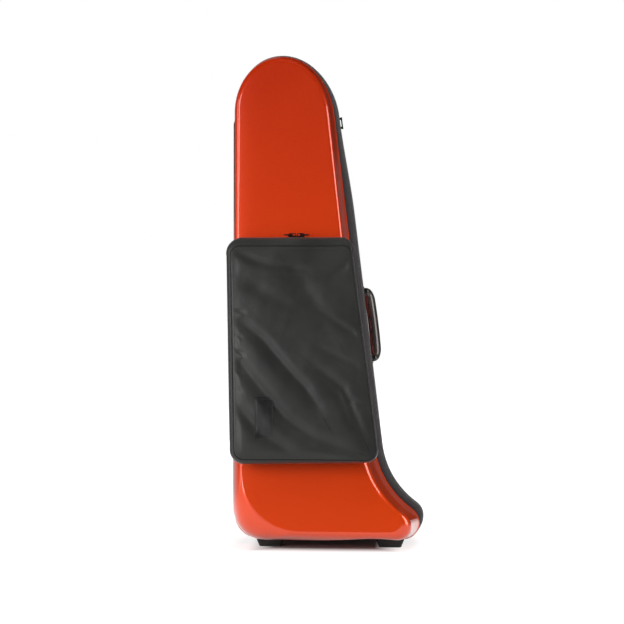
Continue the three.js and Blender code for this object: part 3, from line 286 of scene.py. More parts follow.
def touch(size, way):
    """How far an ellipse reaches in a direction, and where from its centre it gets there."""
    axes = np.array(size)
    reach = np.linalg.norm(axes * way)
    return reach, axes ** 2 * way / reach


def corner_arcs(angles, offsets, radii):
    """The round corners between straight lines, each line an outward angle and a distance from the origin.

    A corner is part of a circle, or of an ellipse where it has two half-axes. Its centre is where its two
    lines, moved in by its reach, cross. A negative radius is a hollow corner, drawn the other way.
    Each arc is its centre, its signed half-axes, and the angles that it starts at and turns through.
    """
    normals = np.stack([np.cos(angles), np.sin(angles)], 1)
    arcs = []
    for i, size in enumerate(radii):
        j = (i + 1) % len(angles)
        size = np.array(size if isinstance(size, tuple) else (size, size), float)
        way = np.sign(size[0])
        reaches = [way * touch(size, normals[k])[0] for k in (i, j)]
        centre = np.linalg.solve(normals[[i, j]], [offsets[i] - reaches[0], offsets[j] - reaches[1]])
        start, end = (math.atan2(abs(size[1]) * n[1], abs(size[0]) * n[0]) for n in normals[[i, j]])
        turn = (end - start) % (2 * np.pi)
        arcs.append((centre, size, start, turn - 2 * np.pi if way > 0 else turn))
    return arcs


def arc_points(arc, t):
    """Points and outward directions at shares t along an arc: centre plus half-axes times cosine and sine,
    and the same with the half-axes divided, made one long."""
    centre, size, start, turn = arc
    a = start + turn * t
    round_it = np.stack([np.cos(a), np.sin(a)], 1)
    return centre + size * round_it, one_long(round_it / np.abs(size))


def side_offset(left, top, domes):
    """The leaning side's distance from the origin, which brings the dome's quarters together at the top."""
    way = np.array([math.cos(TAPER), math.sin(TAPER)])
    centre = np.array([left + domes[0][0], top - domes[1][1]])
    return float(centre @ way + touch(domes[1], way)[0])


def outline(left, right, top, bottom, domes, flare, nose, heel, closed):
    """The case's outline, clockwise from the hinge's top end: a straight hinge side, a dome of two quarters,
    a leaning side, a hollow flare, a slanting flank, a nose, a foot and a heel. The band's bulge is eased."""
    slope = math.pi / 2 - FLARE_SLOPE
    slope_off = (right - nose) * math.cos(slope) + (bottom + nose) * math.sin(slope) + nose
    angles = np.array([math.pi, math.pi / 2, TAPER, slope, -math.pi / 2])
    offsets = [-left, top, side_offset(left, top, domes), slope_off, -bottom]
    arcs = corner_arcs(angles, offsets, [*domes, -flare, nose, heel])

    def arc(i, count, share):
        t = np.arange(count) / count
        return *arc_points(arcs[i], t), share(t)

    def line(p, q, count, angle, share):
        t = np.arange(count) / count
        way = np.broadcast_to([math.cos(angle), math.sin(angle)], (count, 2))
        return p + (q - p) * t[:, None], way, share(t)

    def end(i, which):
        return arc_points(arcs[i], np.array([float(which)]))[0][0]

    low = end(4, 1) + [0, HINGE_MARGIN]
    high = end(0, 0) - [0, HINGE_MARGIN]

    def level(value):
        return lambda t: np.full(len(t), value)

    runs = [
        line(high, end(0, 0), 3, math.pi, level(0.0)),
        arc(0, 30, lambda t: CROWN * ease(t, 0, 0.8)),
        arc(1, 34, lambda t: blended(CROWN, SHOULDER, ease(t, 0.4, 1))),
        line(end(1, 1), end(2, 0), 44, TAPER, lambda t: blended(SHOULDER, 1, ease(t, 0, 0.3))),
        arc(2, 24, lambda t: blended(1, FLANK, t)),
        line(end(2, 1), end(3, 0), 2, slope, level(FLANK)),
        arc(3, 32, lambda t: blended(FLANK, FOOT, ease(t, 0, 0.6))),
        line(end(3, 1), end(4, 0), 16, -math.pi / 2, level(FOOT)),
        arc(4, 24, lambda t: FOOT * (1 - t)),
        line(end(4, 1), low, 3, math.pi, level(0.0)),
        line(low, high, 36 if closed else 1, math.pi, level(0.0)),
    ]
    return Stations(*(np.concatenate([run[k] for run in runs]) for k in range(3)))


rim_loop = outline(**RIM, closed=True)
face_loop = outline(**FACE, closed=True)
band_run = outline(**RIM, closed=False)


# Finishes

def tone(red, green, blue):
    """A colour given as 0 to 255 on the screen, as the linear colour that a shader takes."""
    c = np.array([red, green, blue]) / 255
    linear = np.where(c <= 0.04045, c / 12.92, ((c + 0.055) / 1.055) ** 2.4)
    return (*linear.tolist(), 1.0)


def node_adder(tree):
    """A short way to add a node to a tree, with its settings and a value or a link for each socket."""

    def add(kind, sockets=(), **settings):
        node = tree.nodes.new("ShaderNode" + kind)
        for key, value in settings.items():
            setattr(node, key, value)
        for key, value in dict(sockets).items():
            if isinstance(value, bpy.types.NodeSocket):
                tree.links.new(value, node.inputs[key])
            else:
                node.inputs[key].default_value = value
        return node

    return add


class Finish:
    """A material under construction: its methods add the nodes that the finishes share."""

    def __init__(self, name, **plain):
        self.material = bpy.data.materials.new(name)
        self.material.use_nodes = True
        self.tree = self.material.node_tree
        self.shader = self.tree.nodes["Principled BSDF"]
        for key, value in plain.items():
            self.shader.inputs[key.replace("_", " ")].default_value = value
        self.add = node_adder(self.tree)
        self.place = self.add("TexCoord").outputs

    def drawn_out(self, share):
        """The place on the object with its height cut to a share, which draws a pattern out upwards."""
        return self.add("Mapping", {"Vector": self.place["Object"], "Scale": (1, 1, share)}).outputs["Vector"]

    def threads(self, way, scale, waver):
        """Wavering lines on the cloth, counted along one of its two directions."""
        sockets = {"Vector": self.place["UV"], "Scale": scale, "Distortion": waver}
        return self.add("TexWave", sockets, bands_direction=way).outputs["Fac"]

    def noise(self, scale, detail=2.0, rough=0.5, place=None):
        place = self.place["Object"] if place is None else place
        sockets = {"Vector": place, "Scale": scale, "Detail": detail, "Roughness": rough}
        return self.add("TexNoise", sockets).outputs["Fac"]

    def span(self, value, low, high, to_low, to_high):
        """A number moved from one range to another, kept within the second."""
        sockets = {"Value": value, "From Min": low, "From Max": high, "To Min": to_low, "To Max": to_high}
        return self.add("MapRange", sockets).outputs["Result"]

    def maths(self, kind, a, b):
        return self.add("Math", {0: a, 1: b}, operation=kind).outputs[0]

    def mix(self, share, a, b):
        return self.add("Mix", {0: share, 6: a, 7: b}, data_type="RGBA").outputs[2]

    def colour(self, socket):
        self.tree.links.new(socket, self.shader.inputs["Base Color"])

    def rough(self, noise, low, high):
        """Roughness that goes from low to high with a noise."""
        self.tree.links.new(self.span(noise, 0.3, 0.7, low, high), self.shader.inputs["Roughness"])

    def bump(self, height, distance, strength=1.0, under=None):
        sockets = {"Height": height, "Distance": distance * MM, "Strength": strength}
        if under is not None:
            sockets["Normal"] = under
        node = self.add("Bump", sockets)
        self.tree.links.new(node.outputs["Normal"], self.shader.inputs["Normal"])
        return node.outputs["Normal"]


def lacquer():
    """Orange lacquer over fine metal flake, under a faintly rippled clear coat. Its colour is painted darker
    towards the top and lighter by the foot, as painted shade and painted light.
    """
    f = Finish("orange_lacquer", Metallic=0.32, Roughness=0.3, Specular_IOR_Level=0.4,
               Coat_Weight=1.0, Coat_Roughness=0.03)
    # Painted shade and light: the lacquer's colour follows height, lighter low down and much darker at the
    # top, for how the light falls on the case.
    height = f.add("SeparateXYZ", {0: f.place["Object"]}).outputs["Z"]
    share = f.span(height, 0.55, 0.95, 0.0, 1.0)
    # Painted light: the colour is lighter low down, by the foot.
    foot = f.mix(f.span(height, 0.08, 0.3, 0.0, 1.0), tone(220, 58, 4), tone(206, 48, 1))
    drift = f.noise(4.0)
    # Painted shade: the colour darkens towards the top.
    body = f.mix(share, foot, tone(158, 12, 0))
    body = f.mix(f.span(drift, 0.35, 0.65, 0.0, 0.15), body, tone(224, 62, 4))
    flake = f.add("TexVoronoi", {"Vector": f.place["Object"], "Scale": 1900.0}).outputs["Color"]
    bright = f.add("SeparateColor", {0: flake}, mode="HSV").outputs[2]
    f.colour(f.mix(f.span(bright, 0.3, 1.0, 0.0, 0.16), body, tone(255, 104, 20)))
    f.bump(f.noise(55.0, 1.0), 0.02, 0.5)
    return f.material


def shell_inside():
    """The shell's bare inner face, a matt dark lining."""
    f = Finish("shell_lining", Roughness=0.8)
    f.colour(f.mix(f.noise(90.0), tone(38, 30, 28), tone(52, 42, 38)))
    f.bump(f.noise(700.0, 3.0), 0.15)
    return f.material


def rubber(name, dark, light, rough):
    """Moulded rubber: a little uneven in colour, with a fine matt skin."""
    f = Finish(name)
    f.colour(f.mix(f.noise(60.0, 3.0), dark, light))
    f.rough(f.noise(140.0), rough - 0.07, rough + 0.07)
    f.bump(f.noise(1400.0), 0.08, 0.6)
    return f.material


def band_cloth():
    """The band's ribbed cloth: fine ribs along it, a cross thread, and a slow change of shade."""
    f = Finish("ribbed_band", Sheen_Weight=0.35, Sheen_Roughness=0.4)
    ribs = f.maths("MULTIPLY", f.threads("X", 160.0, 0.4), 0.7)
    cross = f.maths("MULTIPLY", f.threads("Y", 420.0, 0.6), 0.3)
    weave = f.maths("ADD", ribs, cross)
    drift = f.noise(26.0, 3.0)
    body = f.mix(drift, tone(36, 33, 32), tone(58, 51, 56))
    f.colour(f.mix(f.span(weave, 0.2, 0.9, 0.55, 0.0), body, tone(28, 26, 26)))
    f.rough(drift, 0.55, 0.75)
    f.bump(weave, 0.35, 0.8)
    return f.material


def woven(name, dark, light, across_scale, along_scale, rough, sheen):
    """Webbing or tape: two sets of threads, one across and one along, over a slow change of shade."""
    f = Finish(name, Sheen_Weight=sheen, Sheen_Roughness=0.45)
    weave = f.maths("MULTIPLY", f.threads("X", across_scale, 0.5), f.threads("Y", along_scale, 0.5))
    drift = f.noise(30.0, 3.0)
    body = f.mix(drift, dark, light)
    f.colour(f.mix(f.span(weave, 0.0, 0.6, 0.5, 0.0), body, dark))
    f.rough(drift, rough - 0.08, rough + 0.08)
    f.bump(weave, 0.25, 0.9)
    return f.material


def coated_cloth():
    """The pocket's coated cloth: a satin skin with a fine pebbled grain that drifts a little in shade."""
    f = Finish("coated_cloth", Specular_IOR_Level=0.35, Coat_Weight=0.1, Coat_Roughness=0.3,
               Sheen_Weight=0.04)
    grain = f.add("TexVoronoi", {"Vector": f.place["Object"], "Scale": 900.0}).outputs["Distance"]
    fine = f.noise(2200.0)
    drift = f.noise(9.0, 4.0, 0.6)
    body = f.mix(f.span(drift, 0.35, 0.65, 0.0, 1.0), tone(33, 33, 32), tone(44, 44, 42))
    f.colour(f.mix(f.span(grain, 0.2, 0.8, 0.0, 0.25), body, tone(22, 22, 22)))
    f.rough(drift, 0.36, 0.46)
    first = f.bump(grain, 0.12, 0.55)
    f.bump(fine, 0.05, 0.5, first)
    return f.material


def plush():
    """Plush over foam: short fibres that catch light at the edges, brushed in soft patches."""
    f = Finish("tray_plush", Sheen_Weight=0.7, Sheen_Roughness=0.35, Roughness=0.95)
    f.shader.inputs["Sheen Tint"].default_value = tone(150, 150, 165)
    fibres = f.noise(1500.0, 3.0, 0.7, f.drawn_out(0.35))
    brushed = f.noise(16.0, 3.0, 0.6)
    body = f.mix(f.span(brushed, 0.35, 0.65, 0.0, 1.0), tone(35, 35, 40), tone(60, 60, 68))
    f.colour(f.mix(f.span(fibres, 0.3, 0.7, 0.5, 0.0), body, tone(20, 20, 24)))
    f.bump(fibres, 0.5, 0.8)
    return f.material


def grip_cover():
    """The handle's smooth rubbery cover: nearly plain, with a soft shine and a faint skin."""
    f = Finish("handle_cover", Coat_Weight=0.8, Coat_Roughness=0.2)
    drift = f.noise(40.0, 3.0)
    f.colour(f.mix(drift, tone(44, 38, 35), tone(60, 53, 48)))
    f.rough(drift, 0.3, 0.42)
    f.bump(f.noise(1200.0), 0.03, 0.5)
    return f.material


def metal(name, dark, light, rough, metallic):
    """Metal with fine brushing along z and patches that handling has rubbed brighter."""
    f = Finish(name, Metallic=metallic)
    brushing = f.noise(2600.0, place=f.drawn_out(0.05))
    rubbed = f.noise(110.0, 3.0, 0.6)
    body = f.mix(f.span(rubbed, 0.4, 0.75, 0.0, 1.0), dark, light)
    f.colour(f.mix(f.span(brushing, 0.3, 0.7, 0.0, 0.3), body, light))
    f.rough(rubbed, rough, rough + 0.14)
    f.bump(brushing, 0.03, 0.4)
    return f.material


LACQUER = lacquer()
LINING = shell_inside()
WELT_RUBBER = rubber("welt_rubber", tone(22, 20, 20), tone(36, 33, 33), 0.5)
FOOT_RUBBER = rubber("foot_rubber", tone(20, 19, 19), tone(32, 30, 29), 0.62)
BAND_CLOTH = band_cloth()
ZIP_WEB = woven("zip_web", tone(26, 25, 26), tone(54, 55, 54), 620.0, 620.0, 0.7, 0.3)
WEBBING = woven("strap_webbing", tone(22, 22, 24), tone(46, 46, 50), 300.0, 480.0, 0.72, 0.4)
ZIP_TEETH = rubber("zip_teeth", tone(20, 20, 20), tone(34, 33, 33), 0.36)
THREAD = woven("thread", tone(30, 29, 29), tone(58, 57, 56), 900.0, 900.0, 0.7, 0.3)
POCKET_CLOTH = coated_cloth()
PIPING = rubber("piping_skin", tone(13, 13, 13), tone(24, 24, 24), 0.5)
PLUSH = plush()
GRIP = grip_cover()
BLACK_METAL = metal("black_metal", tone(22, 22, 22), tone(48, 47, 46), 0.34, 0.75)
STEEL = metal("pin_steel", tone(120, 120, 122), tone(176, 176, 178), 0.26, 1.0)


def dress(piece, finish, slot, body, *nodes):
    """Gives a piece its finish and the body it moves with, and hides the solids it stands for. Its slot is
    not used.
    """
    piece.data.materials.clear()
    piece.data.materials.append(finish)
    if body:
        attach(piece, body)
    if nodes:
        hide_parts(*nodes)
    return piece


HALVES = (("lid", "lid", -1), ("back", "back_half", 1))


# The shells

WALL_BOW = 0.35
WALL_ROWS = 6  # rings on the wall between its lip and its rounding
OUTER_ROUND, INNER_ROUND = 19, 9  # rings on the rounding, outside and inside
# Where the flat face's rings lie, as shares of the way from its heart to its edge
OUTER_SHARES = (0.992, *np.linspace(0.98, 0.5, 25), 0.36, 0.24, 0.1, 0.004)
INNER_SHARES = (0.992, 0.9, 0.72, 0.5, 0.28, 0.1, 0.004)
INNER_ROWS = WALL_ROWS + INNER_ROUND + len(INNER_SHARES)  # rows of faces inside, which come first
WELT_HALF_WIDTH, WELT_HALF_HEIGHT = 2.0, 2.15
WELT_IN, WELT_BACK = 2.4, 2.45  # how far the welt's middle lies inside the rim and behind its edge

def wall_places(inset, depth, skin):
    """Places inwards and deep along a shell's wall, from the rim to the flat face, for each station.

    Outside, a rounded lip stands proud of the wall. The wall leans in by an even draft with a slight bow,
    then rounds over in a quarter of an ellipse. The inner skin keeps the wall's thickness.
    """
    lean = WALL_DRAFT * depth
    round_in = inset - lean
    round_deep = np.minimum(round_in, ROUND_SHARE * depth)
    if skin:
        lip = np.array([[LIP_OUT + skin, 0.0]])
    else:
        top = LIP_HEIGHT
        lip = np.array([
            [1.2, 0], [0.55, 0.05], [0.16, 0.18], [0, 0.6], [0, top / 2], [0, top - 0.6], [0.1, top - 0.1],
            [0.4, top + 0.4], [LIP_OUT - 0.45, top + LIP_OUT - 0.4], [LIP_OUT - 0.1, top + LIP_OUT + 0.2],
            [LIP_OUT, top + LIP_OUT + 0.9],
        ])
    start_in, start_deep = lip[-1]
    s = np.linspace(0, 1, WALL_ROWS + 2)[1:-1, None]
    wall_in = blended(start_in, lean + skin, s + WALL_BOW * s * (1 - s))
    wall_deep = blended(start_deep, depth - round_deep, s)
    a = np.radians(np.linspace(0, 90, INNER_ROUND if skin else OUTER_ROUND))[:, None]
    round_rows = np.stack([
        inset - (round_in - skin) * np.cos(a), depth - round_deep + (round_deep - skin) * np.sin(a),
    ], 2)
    lip_rows = np.broadcast_to(lip[:, None], (len(lip), len(inset), 2))
    return np.concatenate([lip_rows, np.stack([wall_in, wall_deep], 2), round_rows])


def rim_distance(points):
    """How far inside the rim's outline each point lies: the least distance to any of its straight steps."""
    start = rim_loop.spot[:, [0, 2]]
    step = np.roll(start, -1, axis=0) - start
    place = points[..., None, [0, 2]]
    t = np.clip(((place - start) * step).sum(-1) / (step ** 2).sum(-1), 0, 1)
    return np.linalg.norm(place - start - t[..., None] * step, axis=-1).min(-1)


def crowned(points, side):
    """The lid's face falls off towards its edge by the cube of how near the edge is, but for its foot,
    and the wall eases into that by the square of how deep it is."""
    deep = side * points[..., 1] - HALF_GAP
    full = face_depth(points[..., 2])
    near = 1 - np.clip((rim_distance(points) - WALL_DRAFT * full) / CROWN_REACH, 0, 1)
    drop = FACE_CROWN * near ** 3 * np.clip(deep / full, 0, 1) ** 2
    drop = drop * ease(points[..., 2], CROWN_FROM, CROWN_TO)
    return points - side * drop[..., None] * ACROSS


def shell(name, side):
    """One moulded shell. A point lies inwards from the rim towards the face's edge, and deep along y.
    The rounding tightens towards the top.
    The face is drawn in rings that shrink to a point from which its whole edge is in sight."""
    toward = face_loop.spot - rim_loop.spot
    tight = ease(rim_loop.spot[:, 2], TIGHTENS_FROM, TIGHTENS_TO)
    toward = toward * blended(1, TOP_ROUNDING, tight)[:, None]
    inset = np.linalg.norm(toward, axis=1)
    depth = face_depth((rim_loop.spot + toward)[:, 2])
    toward = toward / inset[:, None]
    heart = np.array([FACE_HEART[0], 0, FACE_HEART[1]])

    def rows(skin):
        places = wall_places(inset, depth, skin)
        wall = rim_loop.spot + places[..., :1] * toward + side * (HALF_GAP + places[..., 1:]) * ACROSS
        shares = np.array(INNER_SHARES if skin else OUTER_SHARES)
        edge = wall[-1] * (1 - ACROSS)
        flat = heart + (edge - heart) * shares[:, None, None]
        flat = flat + side * (HALF_GAP + face_depth(flat[..., 2:]) - skin) * ACROSS
        both = np.concatenate([wall, flat])
        return both if skin or side > 0 else crowned(both, side)

    return domed(name, np.concatenate([rows(SHELL_WALL)[::-1], rows(0)]), 60)


def inner_faces(piece):
    """Marks the faces of a shell that look into the case, which take the lining's finish."""
    mesh = piece.data
    count = len(mesh.polygons)
    order = np.arange(count)
    stations = len(rim_loop.spot)
    inside = order < stations * INNER_ROWS
    inside |= (order >= count - 2 * stations) & (order < count - stations)
    mesh.materials.append(LINING)
    mesh.polygons.foreach_set("material_index", inside.astype(np.int32))


for label, body, side in HALVES:
    made = dress(shell(f"{label}_lacquered_shell", side), LACQUER, "shell", body, f"{label}_shell")
    inner_faces(made)

    welt = oval(WELT_HALF_WIDTH, WELT_HALF_HEIGHT, 20, 4.0) + [-WELT_IN, side * (HALF_GAP - WELT_BACK)]
    seal = carried(f"{label}_welt", carry(rim_loop.spot, rim_loop.out, welt), closed=True)
    dress(seal, WELT_RUBBER, "rubber", body, f"{label}_rim_seal")


# The zip band: cloth that bows out between the rims, a woven web on it, stitches and teeth

TEETH_EDGE, RIM_EDGE = 3.3, 4.9  # how far the cloth stops short of the seam's middle and of the rim
RIPPLE, RIPPLE_SHORT, RIPPLE_LONG = 0.25, 19, 47
BEAD, BEAD_AT, BEAD_WIDTH = 1.1, 9, 6  # the bead by the rim: its height, and its place and width in degrees
FADE_SHARE = 0.15  # the share of the bulge below which what is raised fades out
WEB_DEGREES = np.array([50, 56, 63, 70, 77, 84, 90])
WEB_LIFT, WEB_THICK = 0.35, 0.7
STITCH_ROWS = ((56.0, 0.45), (22.0, 0.7))  # each row's place in degrees and its height over the cloth
SEWN_END, TEETH_END, TEETH_SUNK = 6, 4, 0.2

def band_line(stations, degrees, lift=0.0):
    """Places out and across on the band for each station: a quarter of an ellipse, bulge times share times
    sine outwards and from the rim to the teeth by cosine across, lifted off the cloth."""
    a = np.radians(degrees)
    crest = BULGE * stations.share[:, None]
    out = crest * np.sin(a) - TAPE_SET_IN + lift
    away = blended(TEETH_EDGE, HALF_GAP - RIM_EDGE, np.cos(a)) + 0 * out
    return out, away


def cloth_section(stations, degrees, lift, thick, side):
    """The closed section of a strip on the band, for each station."""
    out, away = band_line(stations, degrees, lift)
    return closed_strip(np.stack([out, side * away], 2), thick)


def unit_vectors(stations):
    """For each station, the directions along the rim, out of it and across the seam."""
    along = np.cross(stations.out, ACROSS)
    across = np.broadcast_to(ACROSS, along.shape)
    return along, stations.out, across


STITCH, STITCH_FACES = bead_unit([(-1.25, 0.16, 0.12), (-0.9, 0.34, 0.24), (0, 0.4, 0.34), (0.9, 0.34, 0.24),
                                  (1.25, 0.16, 0.12)], 6)
STITCH_PITCH = 3.6
TOOTH, TOOTH_FACES = bead_unit([(3.0, 0.55, 0.8), (2.3, 0.62, 1.15), (0.9, 0.5, 1.15), (0.1, 0.72, 1.1),
                                (-0.7, 0.72, 1.0), (-1.0, 0.5, 0.7)], 8)


def stitches(name, origins, along, out, across):
    """A row of stitches: one small bead for each place, lying along the seam."""
    axes = np.stack([along, out, across], 1)[:, [0, 2, 1]]
    return repeated(name, STITCH, STITCH_FACES, origins, axes)


band_end = band_run.at[-1]
for label, body, side in HALVES:
    degrees = np.linspace(0, 90, 15)
    ripple = RIPPLE * np.sin(band_run.at / RIPPLE_SHORT) * np.sin(band_run.at / RIPPLE_LONG + side)
    raised = BEAD * np.exp(-((degrees - BEAD_AT) / BEAD_WIDTH) ** 2)
    raised = raised + np.outer(ripple, np.sin(np.radians(2 * degrees)))
    fade = np.minimum(1, band_run.share / FADE_SHARE)[:, None]
    section = cloth_section(band_run, degrees, raised * fade, TAPE_THICK, side)
    cloth = carried(f"{label}_band_cloth", carry(band_run.spot, band_run.out, section))
    dress(cloth, BAND_CLOTH, "webbing", body, f"{label}_zip_tape")

    strip = cloth_section(band_run, WEB_DEGREES, WEB_LIFT * fade, WEB_THICK, side)
    web = carried(f"{label}_zip_web", carry(band_run.spot, band_run.out, strip))
    dress(web, ZIP_WEB, "webbing", body)

    seam = band_run.spaced(SEWN_END, band_end - SEWN_END, STITCH_PITCH)
    along, out, across = unit_vectors(seam)
    for count, (angle, height) in enumerate(STITCH_ROWS, 1):
        reach, away = band_line(seam, np.array([angle]), height)
        spots = seam.spot + reach * out + side * away * across
        row = stitches(f"{label}_band_stitches_{count}", spots, along, out, across)
        dress(row, THREAD, "webbing", body)

    first = TEETH_PITCH * (1 if side < 0 else 1.5)
    teeth_at = band_run.spaced(first, band_end - TEETH_END, TEETH_PITCH)
    along, out, across = unit_vectors(teeth_at)
    crest = BULGE * teeth_at.share[:, None] - TAPE_SET_IN - TEETH_SUNK
    axes = np.stack([side * across, along, out], 1)
    teeth = repeated(f"{label}_zip_teeth", TOOTH, TOOTH_FACES, teeth_at.spot + crest * out, axes, 50)
    dress(teeth, ZIP_TEETH, "zip_teeth", body, f"{label}_zip_chain")


# The cloth hinge down the straight side, one strip across the seam

leaf_low, leaf_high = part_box("lid_hinge_leaf")
LEAF_REACH = HALF_GAP + 4.6  # from the seam to the strip's edge, which laps over the rim
LEAF_HEM = 2.2
LEAF_UNDER, LEAF_EDGE, LEAF_FACE = 0.3, 0.8, 2.05  # how far out its under side, its edges and its face are
RIM_RIDGE, RIDGE_WIDTH = 0.25, 1.4
LEAF_SLACK, SLACK_FULL, SLACK_NONE = 1.0, 150, 300  # how far it stands off, and the heights where that fades
LEAF_SEWN_END, LEAF_SEWN_OUT, LEAF_SEWN_LAP = 5, 2.2, 2.2
hinge_z = np.linspace(leaf_low.z / MM, leaf_high.z / MM, 90)
hinge_y = np.linspace(-LEAF_REACH, LEAF_REACH, 45)
lap = ease(np.abs(hinge_y), LEAF_REACH, LEAF_REACH - LEAF_HEM)
ridge = RIM_RIDGE * np.exp(-((np.abs(hinge_y) - HALF_GAP) / RIDGE_WIDTH) ** 2)
outer_leaf = np.stack([blended(LEAF_EDGE, LEAF_FACE, lap) + ridge, hinge_y], 1)
inner_leaf = np.stack([np.full(len(hinge_y), LEAF_UNDER), hinge_y], 1)[::-1]
slack = LEAF_SLACK * (1 - ease(hinge_z, SLACK_FULL, SLACK_NONE))
hinge_path = np.stack([-slack, 0 * hinge_z, hinge_z], 1)
hinge_out = np.broadcast_to([-1.0, 0.0, 0.0], hinge_path.shape)
leaf = np.concatenate([outer_leaf, inner_leaf])
hinge = carried("hinge_cloth", carry(hinge_path, hinge_out, leaf))
dress(hinge, BAND_CLOTH, "webbing", None, "lid_hinge_leaf", "back_hinge_leaf")
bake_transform(hinge)

for label, body, side in HALVES:
    z = np.arange(hinge_z[0] + LEAF_SEWN_END, hinge_z[-1] - LEAF_SEWN_END, STITCH_PITCH)
    x = -LEAF_SEWN_OUT - np.interp(z, hinge_z, slack)
    spots = np.stack([x, np.full(len(z), side * (HALF_GAP + LEAF_SEWN_LAP)), z], 1)
    up = np.broadcast_to([0.0, 0.0, 1.0], spots.shape)
    out = np.broadcast_to([-1.0, 0.0, 0.0], spots.shape)
    row = stitches(f"{label}_hinge_stitches", spots, up, out, np.broadcast_to(ACROSS, spots.shape))
    dress(row, THREAD, "webbing", body)


# Cast, moulded and foam pieces that keep their solid's form, with every edge rounded

RUBBER_SKIN, STAPLE_SKIN, ZIP_SKIN = 0.9, 0.35, 0.28  # how closely the points of a new skin lie
METALS = {"black_metal": BLACK_METAL, "steel": STEEL}


def softened(node, name, spacing, rounds):
    """A copy of a solid under a new skin: its doubles are merged, a skin of evenly spaced points is drawn
    over it, and each point moves half of the way to the mean of its neighbours, a few times."""
    piece = bpy.data.objects.new(name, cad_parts[node].data.copy())
    bpy.context.collection.objects.link(piece)
    merge = piece.modifiers.new("merge", "WELD")
    merge.merge_threshold = 1e-5
    skin = piece.modifiers.new("skin", "REMESH")
    skin.mode = "VOXEL"
    skin.voxel_size = spacing * MM
    smooth = piece.modifiers.new("round", "SMOOTH")
    smooth.factor = 0.5
    smooth.iterations = rounds
    graph = bpy.context.evaluated_depsgraph_get()
    mesh = bpy.data.meshes.new_from_object(piece.evaluated_get(graph))
    piece.modifiers.clear()
    piece.data = mesh
    mesh.shade_smooth()
    return piece


for node, body, spacing in (
    ("back_liner", "back_half", 5.0),
    ("lid_liner", "lid", 5.0),
    ("mouthpiece_block", "back_half", 1.6),
    ("slide_rest_lower", "lid", 1.6),
    ("slide_rest_upper", "lid", 1.6),
):
    piece = dress(softened(node, f"{node}_plush", spacing, 4), PLUSH, "foam", body, node)

feet = [("foot_back_left", "back_half"), ("foot_back_right", "back_half")]
feet += [(f"rest_stud_{k}", "back_half") for k in range(1, 5)]
feet += [("foot_front_left", "lid"), ("foot_front_right", "lid")]
for node, body in feet:
    dress(softened(node, f"{node}_rubber", RUBBER_SKIN, 3), FOOT_RUBBER, "rubber", body, node)
for place in ("upper_hand", "lower_hand", "upper_hinge", "lower_hinge"):
    node = f"strap_staple_{place}"
    dress(softened(node, f"{node}_cast", STAPLE_SKIN, 5), BLACK_METAL, "black_metal", "back_half", node)
for way, run in (("upper", "up"), ("lower", "down")):
    for node, body, spacing, slot in (
        (f"handle_bracket_{way}", "back_half", 0.45, "black_metal"),
        (f"handle_pin_{way}", "back_half", 0.3, "steel"),
        (f"handle_end_{way}", "handle", 0.4, "black_metal"),
        (f"zip_slider_{way}", f"zip_slider_{run}", ZIP_SKIN, "black_metal"),
        (f"zip_pull_{way}", f"zip_pull_{run}", ZIP_SKIN, "black_metal"),
    ):
        dress(softened(node, f"{node}_cast", spacing, 3), METALS[slot], slot, body, node)
for way in ("left", "right"):
    for kind in ("slider", "pull"):
        node, body = f"pocket_{kind}_{way}", f"pocket_{kind}_{way[0]}"
        dress(softened(node, f"{node}_cast", ZIP_SKIN, 3), BLACK_METAL, "black_metal", body, node)


# The straps inside: webbing laid over the gooseneck and the slide

STRAP_BOW = 0.8


def strap(node, body):
    """A flat strap along x: its section is a rounded strip, and its middle rises by a low bow."""
    low, high = ((np.array(corner) - ORIGIN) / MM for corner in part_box(node))
    t = np.linspace(0, 1, 40)
    middle = (low + high) / 2
    y = middle[1] - np.sign(middle[1]) * STRAP_BOW * np.sin(np.pi * t)
    path = np.stack([blended(low[0], high[0], t), y, 0 * t + middle[2]], 1)
    out = np.broadcast_to([0.0, 0.0, 1.0], path.shape)
    section = oval((high[2] - low[2]) / 2, (high[1] - low[1]) / 2, 28, 6.0)
    piece = carried(f"{node}_webbing", carry(path, out, section))
    dress(piece, WEBBING, "webbing", body, node)


strap("neck_strap", "back_half")
strap("slide_strap_lower", "lid")
strap("slide_strap_upper", "lid")


# The handle's loop

def turned(axis, angle):
    """The matrix that turns a column of three numbers about the x, y or z axis by an angle."""
    c, s = math.cos(angle), math.sin(angle)
    if axis == "x":
        return np.array([[1, 0, 0], [0, c, -s], [0, s, c]])
    if axis == "y":
        return np.array([[c, 0, s], [0, 1, 0], [-s, 0, c]])
    return np.array([[c, -s, 0], [s, c, 0], [0, 0, 1]])


HANDLE_Z = 419
HANDLE_REST = math.radians(22)
PIVOT_OUT = 8
PIVOT_BACK = 12.5
REACH = 36
BOW = 2
SPREAD = 66
GRIP_START = 15
CORE_SET_IN = 8
GRIP_WIDTH = 24
GRIP_THICK = 19
GRIP_END_R = 7
CORNER_UP, BEND_UP, LEAD_OUT = 0.67, 0.88, 0.34  # shares of the spread and the reach that shape the corners
END_OVERLAP = 0.3
END_ROUNDING, END_TUCK = 1.6, 0.12
SWELL_SHARE = 0.22  # the share of the loop's length at which the grip has its full size


def side_x(z):
    """Where the leaning hand side of the rim is at a height."""
    return (side_offset(0, RIM_TOP, RIM["domes"]) - z * math.sin(TAPER)) / math.cos(TAPER)


def bezier(points, t):
    """A curve through its first and last points, pulled towards the others: the weights are the terms of
    (1 - t + t) raised to the number of points less one."""
    n = len(points) - 1
    weights = np.stack([math.comb(n, k) * (1 - t) ** (n - k) * t ** k for k in range(n + 1)], 1)
    return weights @ np.array(points, float)


